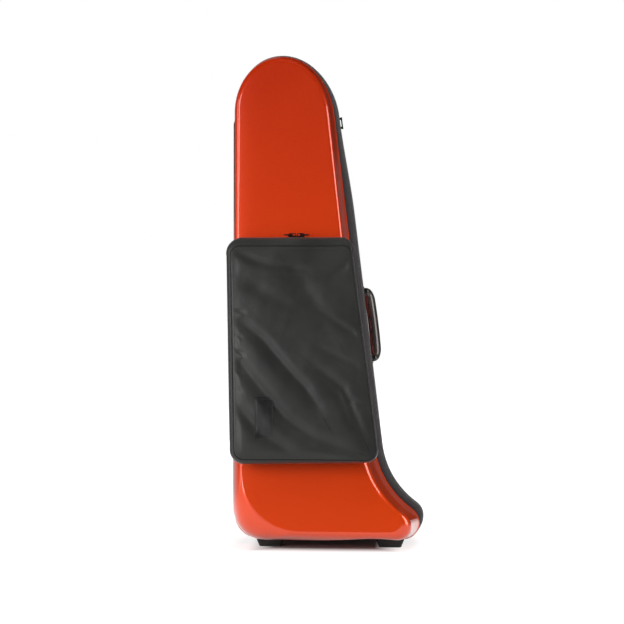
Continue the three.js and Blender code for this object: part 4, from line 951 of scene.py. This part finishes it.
def handle_line():
    """The loop's middle line in its plane: an arm, a round corner, a gently bowed bar, and the same back."""
    out = REACH - BOW
    corner = (out, SPREAD * CORNER_UP)
    bend = (out - 2 * BOW * (BEND_UP / CORNER_UP - 1), SPREAD * BEND_UP)
    lead = (GRIP_START + REACH * LEAD_OUT, SPREAD)
    arm = (GRIP_START, SPREAD)
    start = (GRIP_START - CORE_SET_IN, SPREAD)
    half = np.concatenate([
        bezier([start, arm], np.linspace(0, 1, 10)[:-1]),
        bezier([arm, lead, bend, corner], np.linspace(0, 1, 60)[:-1]),
        bezier([corner, (REACH + BOW, 0), (corner[0], -corner[1])], np.linspace(0, 0.5, 60)),
    ])
    other = half[:-1][::-1] * [1, -1]
    return np.concatenate([half, other])


loop = handle_line()
lengths = run_lengths(loop) / MM
total = lengths[-1]
first_stop = CORE_SET_IN - END_OVERLAP
stops = np.linspace(first_stop, total - first_stop, 120)
middle = np.insert(read_off(stops, lengths, loop), 1, 0, axis=1)
heading = one_long(np.gradient(middle, axis=0))
across_loop = np.stack([-heading[:, 2], 0 * stops, heading[:, 0]], 1)
from_end = np.minimum(stops, total - stops)
swell = ease(from_end / total, first_stop / total, SWELL_SHARE)
round_end = np.clip((from_end - first_stop) / END_ROUNDING, 0, 1)
tuck = 1 - END_TUCK * (1 - np.sqrt(1 - (1 - round_end) ** 2))
half_wide = blended(GRIP_END_R, GRIP_WIDTH / 2, swell) * tuck
half_thick = blended(GRIP_END_R, GRIP_THICK / 2, swell) * tuck
unit_oval = oval(1, 1, 36, 2.15)
grip_section = unit_oval * np.stack([half_wide, half_thick], 1)[:, None]
hand_side = turned("y", -TAPER)
handle_turn = hand_side @ turned("z", math.pi / 2 - HANDLE_REST)
pivot = np.array([side_x(HANDLE_Z), HALF_GAP, HANDLE_Z]) + hand_side @ np.array([PIVOT_OUT, PIVOT_BACK, 0])
grip_grid = carry(middle, across_loop, grip_section) @ handle_turn.T + pivot
grip = domed("handle_grip_cover", grip_grid, 50)
dress(grip, GRIP, "grip", "handle", "handle_grip")
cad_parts["handle_core"].data.materials.clear()
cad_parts["handle_core"].data.materials.append(STEEL)


# The music pocket, in its own place: x across, y = 0 on the lid's face and negative out of it, z up the face

POCKET_LOW = 170.5
POCKET_HIGH = 567
POCKET_HEIGHT = (POCKET_HIGH - POCKET_LOW) / math.cos(FACE_TILT)
LEFT_FOOT, LEFT_TOP = 16.5, 5.5
RIGHT_FOOT, RIGHT_TOP = 284, 231.5
TOP_R, CORNER_R = 17, 19
FOLD = 33
DEPTH = 45
WALL_BULGE = {"left": 9.2, "top": 17.6, "right": 1.2, "foot_right": 4, "foot_left": 8}
PIPING_R = 1.2
FRONT_SET_IN = 1.35
BACK_PANEL = 3
FRONT_PANEL = 2.4
FRONT_SUNK = 0.5  # how far the front's edge lies behind the pocket's full depth
FRONT_THICK, WALL_THICK = 1.4, 1.5
FRONT_CROWN = 5.5
HEM_FROM, HEM_TO = 2, 16  # how far from the edge the folds begin, and where they are full
ZIP_EDGE = 3.3  # from the zip's middle to the wall's cloth
PUCKER, PUCKER_SHORT, PUCKER_LONG = 0.35, 6.1, 23
PIPING_PROUD = 0.3
pocket_turn = turned("x", -FACE_TILT)
pocket_place = np.array([0, -HALF_GAP - face_depth(POCKET_LOW), POCKET_LOW])


def on_pocket(points):
    """Points of the pocket's own place, set down on the lid's sloping face."""
    return points @ pocket_turn.T + pocket_place


def pocket_outline(count):
    """The pocket's outline, clockwise from the fold on the hinge side: four leaning sides, round corners.
    Each station's share is how far the side wall bulges there, in millimetres."""
    left_lean = math.atan2(LEFT_TOP - LEFT_FOOT, POCKET_HEIGHT)
    right_lean = math.atan2(RIGHT_FOOT - RIGHT_TOP, POCKET_HEIGHT)
    angles = np.array([math.pi - left_lean, math.pi / 2, right_lean, -math.pi / 2])
    offsets = [LEFT_FOOT * math.cos(angles[0]), POCKET_HEIGHT, RIGHT_FOOT * math.cos(angles[2]), 0]
    arcs = corner_arcs(angles, offsets, [TOP_R, TOP_R, CORNER_R, CORNER_R])
    left, top, right = (WALL_BULGE[side] for side in ("left", "top", "right"))
    foot_right, foot_left = WALL_BULGE["foot_right"], WALL_BULGE["foot_left"]
    bulges = [(left, top, top), (top, right, right), (right, foot_right, foot_left), (foot_left, left, left)]
    runs = []
    for i, (before, after, last) in enumerate(bulges):
        t = np.arange(count) / (count - 1)
        spot, way = arc_points(arcs[i], t)
        runs.append((spot, way, blended(before, after, t)))
        ahead = arc_points(arcs[(i + 1) % 4], np.zeros(1))[0][0]
        t = np.arange(1, 40) / 40
        line = spot[-1] + (ahead - spot[-1]) * t[:, None]
        runs.append((line, np.broadcast_to(way[-1], line.shape), blended(after, last, t)))
    return Stations(*(np.concatenate([run[k] for run in runs]) for k in range(3)))


pocket_loop = pocket_outline(14)
pocket_middle = -(BACK_PANEL + DEPTH - FRONT_PANEL) / 2


def pocket_edges(z):
    """Where the front's left and right edges are at a height: on the outline, set in by FRONT_SET_IN."""
    inner = pocket_loop.spot - FRONT_SET_IN * pocket_loop.out
    edges = []
    for way in (-1, 1):
        side = inner[way * pocket_loop.out[:, 0] > 0.03]
        side = side[np.argsort(side[:, 2])]
        edges.append(np.interp(z, side[:, 2], side[:, 0]))
    return edges


# The folds that the music bag's front hangs in: lines of (across, up) shares, depth and width in mm,
# and how far to one side its ridge stands
FOLDS = [
    ([(0.03, 0.66), (0.22, 0.562), (0.43, 0.407), (0.556, 0.327), (0.66, 0.22)], 5.0, 15, -17),
    ([(0.03, 0.469), (0.144, 0.372), (0.382, 0.195), (0.597, 0.102), (0.894, 0.04)], 5.4, 15, -18),
    ([(0.622, 0.434), (0.833, 0.332), (0.978, 0.115)], 4.6, 14, -15),
    ([(0.74, 0.66), (0.84, 0.62), (0.97, 0.57)], 3.2, 11, -12),
    ([(0.66, 0.52), (0.82, 0.47), (0.975, 0.43)], 3.2, 11, -12),
    ([(0.86, 0.29), (0.98, 0.26)], 1.4, 7, -9),
    ([(0.064, 0.969), (0.19, 0.93), (0.311, 0.911), (0.57, 0.898)], 3.0, 11, -12),
    ([(0.97, 0.965), (0.88, 0.90), (0.74, 0.85)], 1.6, 9, 11),
    ([(0.0, 0.70), (0.10, 0.69)], 1.6, 5, -6),
    ([(0.0, 0.588), (0.08, 0.57)], 1.6, 5, -6),
    ([(0.0, 0.518), (0.09, 0.49)], 1.7, 5, -6),
    ([(0.0, 0.42), (0.08, 0.395)], 1.6, 5, -6),
    ([(0.0, 0.336), (0.07, 0.315)], 1.4, 5, -6),
    ([(0.44, 0.90), (0.55, 0.80), (0.66, 0.70), (0.76, 0.60)], 3.6, 24, -26),
    ([(0.10, 0.83), (0.30, 0.76), (0.50, 0.72)], 2.0, 19, -21),
    ([(0.03, 0.25), (0.20, 0.12), (0.42, 0.05)], 3.6, 15, -16),
]

VALLEY_SPREAD, RIDGE_SPREAD, RIDGE_SHIFT, RIDGE_SHARE = 0.75, 1.6, 1.5, 0.5


def fold_relief(u, v, width):
    """How far the front stands out because of its folds: along each line a valley, -depth times
    exp(-(distance / width) squared), and beside it a ridge half as high. Both fade to the line's ends."""
    relief = np.zeros(u.shape)
    x, z = u * width, v * POCKET_HEIGHT
    for line, depth, wide, beside in FOLDS:
        points = np.array(line) * [float(width.mean()), POCKET_HEIGHT]
        lengths = run_lengths(points) / MM
        best = np.full(u.shape, 1e9)
        signed = np.zeros(u.shape)
        where = np.zeros(u.shape)
        for i in range(len(points) - 1):
            step = points[i + 1] - points[i]
            size = float(np.hypot(*step))
            t = np.clip(((x - points[i, 0]) * step[0] + (z - points[i, 1]) * step[1]) / size ** 2, 0, 1)
            dx, dz = x - points[i, 0] - t * step[0], z - points[i, 1] - t * step[1]
            far = np.hypot(dx, dz)
            nearer = far < best
            turn = np.sign(step[0] * dz - step[1] * dx)
            best = np.where(nearer, far, best)
            signed = np.where(nearer, turn * far, signed)
            where = np.where(nearer, (lengths[i] + t * size) / lengths[-1], where)
        fade = np.sin(np.pi * np.clip(where * 0.94 + 0.03, 0, 1)) ** 0.6
        raised = np.exp(-((signed - RIDGE_SHIFT * beside) / (RIDGE_SPREAD * wide)) ** 2)
        valley = np.exp(-(signed / (VALLEY_SPREAD * wide)) ** 2)
        relief += fade * depth * (RIDGE_SHARE * raised - valley)
    return relief


def front_relief(u, v, width):
    """The front's shape: a crown of sin(pi u) sin(pi v) to a small power, lower down where the bag sags,
    plus its folds and a fine unevenness, all brought to nothing at the sewn edge."""
    sag = v ** 0.8
    crown = FRONT_CROWN * (np.sin(np.pi * u) * np.sin(np.pi * sag)) ** 0.55
    uneven = 0.15 * np.sin(23 * u + 7 * v) * np.sin(17 * v - 5 * u) + 0.04 * np.sin(51 * u - 31 * v)
    edge = np.minimum(np.minimum(u, 1 - u) * width, np.minimum(v, 1 - v) * POCKET_HEIGHT)
    hem = ease(edge, HEM_FROM, HEM_TO)
    return crown + (fold_relief(u, v, width) + uneven) * hem


def front_panel():
    """The pocket's front as one cloth: a grid of heights and shares across, standing out by its relief."""
    rise = (1 - np.cos(np.linspace(0, np.pi, 200))) / 2
    rise = blended(np.linspace(0, 1, 200), rise, 0.55)
    low, high = FRONT_SET_IN, POCKET_HEIGHT - FRONT_SET_IN
    z = blended(low, high, rise)
    left, right = pocket_edges(z)
    u = (1 - np.cos(np.linspace(0, np.pi, 150))) / 2
    u = blended(np.linspace(0, 1, 150), u, 0.35)
    across, up = np.meshgrid(u, (z - low) / (high - low))
    width = (right - left)[:, None] + 0 * across
    x = left[:, None] + across * width
    out = front_relief(across, up, width)
    tops = np.stack([x, -DEPTH + FRONT_SUNK - out, z[:, None] + 0 * x], 2)
    under = tops + [0, FRONT_THICK, 0]
    sections = np.concatenate([tops, under[::-1]]).transpose(1, 0, 2)
    return carried("pocket_front_cloth", on_pocket(sections))


def over_fold(piece):
    """Bakes a piece's placing into its points; the piece is not bent at the pocket's fold."""
    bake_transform(piece)


front = dress(front_panel(), POCKET_CLOTH, "pocket_cloth", None, "pocket_front_panel", "pocket_front_foot")
over_fold(front)


def pocket_wall(name, edge, zip_edge):
    """Half of the side wall: from its edge to the zip it bulges by sine outwards and cosine across."""
    a = np.radians(np.linspace(0, 90, 13))
    pucker = PUCKER * np.sin(pocket_loop.at / PUCKER_SHORT) * np.sin(pocket_loop.at / PUCKER_LONG)
    out = pocket_loop.share[:, None] * np.sin(a) + pucker[:, None] * np.sin(2 * a)
    y = blended(zip_edge, edge, np.cos(a)) + 0 * out
    section = closed_strip(np.stack([out, y], 2), WALL_THICK)
    return carried(name, on_pocket(carry(pocket_loop.spot, pocket_loop.out, section)), closed=True)


piping_y = -DEPTH + PIPING_R - PIPING_PROUD
wall_back = pocket_wall("pocket_wall_rear", -BACK_PANEL - 0.6, pocket_middle + ZIP_EDGE)
dress(wall_back, POCKET_CLOTH, "pocket_cloth", "lid", "pocket_wall_back")
wall_front = pocket_wall("pocket_wall_fore", piping_y + PIPING_R + PIPING_PROUD, pocket_middle - ZIP_EDGE)
dress(wall_front, POCKET_CLOTH, "pocket_cloth", None, "pocket_wall_front", "pocket_wall_foot")
over_fold(wall_front)

piping_section = oval(PIPING_R, PIPING_R, 14) + [0, piping_y]
piping_grid = carry(pocket_loop.spot, pocket_loop.out, piping_section)
piping = carried("pocket_piping_cord", on_pocket(piping_grid), closed=True)
dress(piping, PIPING, "pocket_cloth", None, "pocket_piping", "pocket_piping_foot")
over_fold(piping)

# Each ring of the rear cloth: its share of the way out from the middle, how far it lies inside the pocket's
# outline, and its place across
rear_rings = []
rear_heart = np.array([130, 0, POCKET_HEIGHT / 2])
for share, inward, y in ((0.004, 14, -0.3), (0.5, 14, -0.3), (1, 14, -0.3), (1, 1.9, -0.3), (1, 1.2, -0.9),
                         (1, 1.2, -2.7), (1, 1.9, -3.3), (1, 14, -3.3), (0.5, 14, -3.3), (0.004, 14, -3.3)):
    ring = pocket_loop.spot - inward * pocket_loop.out
    rear_rings.append(rear_heart + share * (ring - rear_heart) + y * ACROSS)
rear = domed("pocket_rear_cloth", on_pocket(np.stack(rear_rings)))
dress(rear, POCKET_CLOTH, "pocket_cloth", "lid", "pocket_back_panel")


# The pocket's zip: web and teeth, up from the fold on one side, over the top and down the other side

WEB_AWAY = np.array([3.4, 3.0, 1.6, 0.9])  # the web's section: how far from the zip's middle, and how far out
WEB_OUT = np.array([0.1, 0.35, 0.35, 0.25])
POCKET_WEB_THICK = 0.8
POCKET_PITCH, POCKET_TEETH_END = 2.2, 2
POCKET_TOOTH, POCKET_TOOTH_FACES = bead_unit([(2.0, 0.4, 0.5), (1.4, 0.46, 0.75), (0.2, 0.46, 0.75),
                                              (-0.6, 0.5, 0.6)], 6)
on_far_side = pocket_loop.spot[:, 0] > 100
from_fold = np.where(on_far_side, np.inf, np.abs(pocket_loop.spot[:, 2] - FOLD))
order = np.roll(np.arange(len(from_fold)), -int(np.argmin(from_fold)))
kept = order[pocket_loop.spot[order, 2] >= FOLD - 0.5]
spot, out = (line[kept][:, [0, 2]] for line in (pocket_loop.spot, pocket_loop.out))
zip_run = Stations(spot, out, pocket_loop.share[kept])

for label, body, side, node in (("rear", "lid", 1, "pocket_zip_back"),
                                ("fore", "pocket_flap", -1, "pocket_zip_front")):
    section = closed_strip(np.stack([WEB_OUT, pocket_middle + side * WEB_AWAY], 1), POCKET_WEB_THICK)
    section = section + np.stack([zip_run.share, 0 * zip_run.share], 1)[:, None]
    web = carried(f"pocket_zip_web_{label}", on_pocket(carry(zip_run.spot, zip_run.out, section)))
    dress(web, ZIP_WEB, "webbing", body)
    first = POCKET_TEETH_END + (0 if side > 0 else POCKET_PITCH / 2)
    teeth_at = zip_run.spaced(first, zip_run.at[-1] - POCKET_TEETH_END, POCKET_PITCH)
    along, out, across = unit_vectors(teeth_at)
    spots = teeth_at.spot + (teeth_at.share[:, None] + 0.1) * out + pocket_middle * ACROSS
    axes = np.stack([side * across, along, out], 1) @ pocket_turn.T
    teeth = repeated(f"pocket_teeth_{label}", POCKET_TOOTH, POCKET_TOOTH_FACES, on_pocket(spots), axes, 50)
    dress(teeth, ZIP_TEETH, "zip_teeth", body, node)


# The bare patch low on the front, and the stitches round it and round the front

PATCH_X, PATCH_Z, PATCH_W, PATCH_H, PATCH_R = 55, 42, 35, 74, 3
PATCH_POINTS = 160
PATCH_SEWN, PATCH_PROUD = 0.9, 1.0  # its stitches: their share of the way out, and their height
EDGE_SEWN, SEWN_PROUD = 5.2, 0.3  # the front's stitches: how far inside its edge, and how far off the cloth
SEWN_ABOVE_FOLD = 12


def front_height(x, z):
    """How far out the front's cloth is at a place on it."""
    low, high = FRONT_SET_IN, POCKET_HEIGHT - FRONT_SET_IN
    left, right = pocket_edges(z)
    width = right - left
    return -DEPTH + FRONT_SUNK - front_relief((x - left) / width, (z - low) / (high - low), width)


def patch_outline():
    """The patch's edge about its own middle: a rectangle with round corners, as evenly spaced points."""
    a = np.radians(np.linspace(0, 90, 7)) + np.arange(4)[:, None] * np.pi / 2
    corner = np.array([[1, 1], [-1, 1], [-1, -1], [1, -1]])[:, None]
    half = np.array([PATCH_W / 2 - PATCH_R, PATCH_H / 2 - PATCH_R])
    around = (corner * half + PATCH_R * np.stack([np.cos(a), np.sin(a)], 2)).reshape(-1, 2)
    around = np.concatenate([around, around[:1]])
    at = run_lengths(around)
    return read_off(np.linspace(0, at[-1], PATCH_POINTS, endpoint=False), at, around)


def over_cloth(flat, lift):
    """Places about the patch's middle, set down on the front's cloth and moved off it by the lift."""
    x, z = PATCH_X + PATCH_W / 2 + flat[:, 0], PATCH_Z + PATCH_H / 2 + flat[:, 1]
    return np.stack([x, front_height(x, z) + lift, z], 1)


def patch_piece():
    """The patch: rings of its outline run from under the middle, out to the edge and back over the top,
    raised a little and rounded at the edge, and every point follows the cloth beneath it."""
    steps = [(0.05, 0.3), (0.5, 0.3), (0.9, 0.3), (0.985, 0.1), (1.0, -0.35), (0.995, -0.8),
             (0.975, -1.0), (0.93, -1.05), (0.9, -0.85), (0.87, -0.85), (0.84, -1.05), (0.6, -1.1),
             (0.3, -1.1), (0.05, -1.1)]
    rings = [over_cloth(patch_outline() * share, lift) for share, lift in steps]
    return domed("pocket_bare_patch", on_pocket(np.stack(rings)))


def front_stitches(name, spots, along):
    """Stitches on the pocket's front at the given places, each lying along its own direction."""
    along = along / np.maximum(np.linalg.norm(along, axis=1), 1e-6)[:, None]
    out = np.broadcast_to(pocket_turn @ np.array([0, -1.0, 0]), along.shape)
    row = stitches(name, spots, along, out, np.cross(along, out))
    dress(row, THREAD, "webbing", "pocket_flap")


dress(patch_piece(), PIPING, "pocket_cloth", "pocket_flap", "pocket_patch")

line = on_pocket(over_cloth(patch_outline() * PATCH_SEWN, -PATCH_PROUD))
line = np.concatenate([line, line[:1]])
at = run_lengths(line) / MM
even = np.arange(0, at[-1] - STITCH_PITCH / 2, STITCH_PITCH)
place, ahead = (read_off(even + step, at, line) for step in (0, 0.5))
front_stitches("patch_stitches", place, ahead - place)

edge = pocket_loop.spaced(0, pocket_loop.at[-1], STITCH_PITCH)
inner_line = edge.spot - EDGE_SEWN * edge.out
inner_line = inner_line[inner_line[:, 2] > FOLD + SEWN_ABOVE_FOLD]
edge_height = front_height(inner_line[:, 0], inner_line[:, 2])
spots = on_pocket(inner_line + (edge_height - SEWN_PROUD)[:, None] * ACROSS)
front_stitches("pocket_edge_stitches", spots, np.gradient(spots, axis=0))


# The floor, the light and the camera

def stage_tree(material):
    """Empties the node tree of a material or the world, and gives the way to add nodes to it."""
    material.use_nodes = True
    material.node_tree.nodes.clear()
    return node_adder(material.node_tree)


def seen(add, glossy):
    """One for the camera's rays and those through glass, a given share in reflections, nought for light."""
    paths = add("LightPath").outputs
    eye = add("Math", {0: paths["Is Camera Ray"], 1: paths["Is Transmission Ray"]}, operation="MAXIMUM")
    sheen = add("Math", {0: paths["Is Glossy Ray"], 1: glossy}, operation="MULTIPLY")
    return add("Math", {0: eye.outputs[0], 1: sheen.outputs[0]}, operation="MAXIMUM").outputs[0]


# Painted shade: in this box under the case the floor's glow is taken away, so the floor goes dark beneath it.
SHADE_HALF_WIDTH, SHADE_HALF_DEPTH = 0.125, 0.1  # the floor under the case, which has no glow of its own
SHADE_EDGE = (-0.03, 0.02)
GLOW_SPREAD = (0.8, 2.6)
MIRROR_SPREAD, MIRRORED = (0.45, 1.1), 0.75


def floor_material(near, far, give):
    """White to the eye, and a plain diffuse surface that takes the case's shadow.

    What it shows of its own grows from nothing under the case, through one level round it, to another far
    off, each by an even step in the distance from the case; taking its glow away under the case paints shade
    there. In reflections it fades out with distance.
    """
    material = bpy.data.materials.new("pale_floor")
    add = stage_tree(material)

    def moved(value, start, end):
        sockets = {"Value": value, "From Min": start[0], "From Max": start[1],
                   "To Min": end[0], "To Max": end[1]}
        return add("MapRange", sockets).outputs["Result"]

    place = add("TexCoord").outputs["Object"]
    away = add("VectorMath", {0: place}, operation="LENGTH").outputs["Value"]
    axes = add("SeparateXYZ", {0: place}).outputs
    sides = []
    for axis, half in (("X", SHADE_HALF_WIDTH), ("Y", SHADE_HALF_DEPTH)):
        size = add("Math", {0: axes[axis]}, operation="ABSOLUTE").outputs[0]
        sides.append(add("Math", {0: size, 1: half}, operation="SUBTRACT").outputs[0])
    edge = add("Math", {0: sides[0], 1: sides[1]}, operation="MAXIMUM").outputs[0]
    level = moved(away, GLOW_SPREAD, (near, far))
    # Painted shade: the glow is brought to nothing under the case.
    level = add("Math", {0: level, 1: moved(edge, SHADE_EDGE, (0, 1))}, operation="MULTIPLY").outputs[0]
    mirrored = moved(away, MIRROR_SPREAD, (MIRRORED, 0))
    level = add("Math", {0: level, 1: seen(add, mirrored)}, operation="MULTIPLY").outputs[0]
    glow = add("Emission", {"Strength": level})
    flat = add("BsdfDiffuse", {"Color": (give, give, give, 1)})
    both = add("AddShader", {0: glow.outputs[0], 1: flat.outputs[0]})
    add("OutputMaterial", {"Surface": both.outputs[0]})
    return material


def stage_planes(name, planes, material):
    """Flat four-cornered pieces of the stage, in metres."""
    mesh = bpy.data.meshes.new(name)
    spots = [spot for plane in planes for spot in plane]
    mesh.from_pydata(spots, [], [tuple(range(4 * k, 4 * k + 4)) for k in range(len(planes))])
    mesh.materials.append(material)
    piece = bpy.data.objects.new(name, mesh)
    bpy.context.collection.objects.link(piece)
    return piece


WIDE = 30
stage_planes("floor", [[(-WIDE, -WIDE, 0), (WIDE, -WIDE, 0), (WIDE, WIDE, 0), (-WIDE, WIDE, 0)]],
             floor_material(0.72, 1.0, 0.4))

world = bpy.data.worlds.new("studio")
bpy.context.scene.world = world
add = stage_tree(world)
strength = add("MapRange", {"Value": seen(add, 1), "To Min": 0.12, "To Max": 1.0})
sky = add("Background", {"Color": (1, 1, 1, 1), "Strength": strength.outputs["Result"]})
add("OutputWorld", {"Surface": sky.outputs[0]})

CASE_MIDDLE = Vector((HINGE_SIDE + 0.18, SEAM, 0.475))


def lamp(name, spot, size, energy, tall=None):
    """A soft rectangular lamp at a spot, turned towards the case."""
    data = bpy.data.lights.new(name, "AREA")
    data.shape = "RECTANGLE"
    data.size = size
    data.size_y = tall or size
    data.energy = energy
    light = bpy.data.objects.new(name, data)
    light.location = spot
    light.rotation_euler = (CASE_MIDDLE - Vector(spot)).to_track_quat("-Z", "Y").to_euler()
    bpy.context.collection.objects.link(light)
    return light


lamp("left_light", (-1.79, -2.65, 0.95), 0.7, 38, 2.2)
lamp("right_light", (2.5, -0.6, 0.95), 1.3, 40, 2.0)
for name, spot, size, energy in (
    ("key_light", (-2.7, -1.1, 0.95), 1.75, 65),
    ("front_light", (0.5, -3.4, 2.0), 1.8, 40),
    ("top_light", (0.2, -0.6, 3.4), 2.0, 50),
    ("back_light", (0.3, 3.2, 2.0), 1.8, 70),
):
    lamp(name, spot, size, energy).visible_glossy = False

# Curtains all round, seen in reflections only: black, with a paler one behind on the left and a gap in the
# middle that shows the white wall

SIDE, FRONT, BACK, LOW, HIGH = 4, -6, 4, 0.01, 6
GAP_LEFT, GAP_RIGHT, GAP_TOP = -0.6, 0.7, 1.5
PANEL, PANEL_HIGH = (-2.42, -1.79, -2.98, -0.41), 1.95  # a white panel on the left, where the key light hangs


def upright(x0, y0, x1, y1, low=LOW, high=HIGH):
    """The corners of an upright plane between two places on the floor."""
    return [(x0, y0, low), (x1, y1, low), (x1, y1, high), (x0, y0, high)]


def curtain(name, level, planes):
    """Upright planes of one shade that nothing but a reflection sees."""
    material = bpy.data.materials.new(name)
    add = stage_tree(material)
    glow = add("Emission", {"Color": (level, level, level, 1)})
    add("OutputMaterial", {"Surface": glow.outputs[0]})
    piece = stage_planes(name, planes, material)
    for ray in ("camera", "diffuse", "transmission", "shadow"):
        setattr(piece, f"visible_{ray}", False)


curtain("black_curtains", 0.01, [
    upright(-SIDE, FRONT, SIDE, FRONT),
    upright(-SIDE, FRONT, -SIDE, BACK),
    upright(SIDE, FRONT, SIDE, BACK),
    upright(GAP_RIGHT, BACK, SIDE, BACK),
    upright(GAP_LEFT, BACK, GAP_RIGHT, BACK, GAP_TOP),
    [(-SIDE, FRONT, HIGH), (SIDE, FRONT, HIGH), (SIDE, BACK, HIGH), (-SIDE, BACK, HIGH)],
])
curtain("grey_curtain", 0.3, [upright(-SIDE, BACK, GAP_LEFT, BACK)])
curtain("white_panel", 1.7, [upright(*PANEL, LOW, PANEL_HIGH)])

AZIMUTH = math.radians(4)
DISTANCE = 3.4
camera_data = bpy.data.cameras.new("camera")
camera_data.lens = 100.96
camera_data.sensor_width = 36
camera_data.shift_x = -0.0267
camera_data.shift_y = -0.0238
camera = bpy.data.objects.new("camera", camera_data)
camera.location = CASE_MIDDLE + DISTANCE * Vector((math.sin(AZIMUTH), -math.cos(AZIMUTH), 0))
camera.rotation_euler = (math.pi / 2, 0, AZIMUTH)
bpy.context.collection.objects.link(camera)
bpy.context.scene.camera = camera
bpy.context.scene.view_settings.view_transform = "Standard"
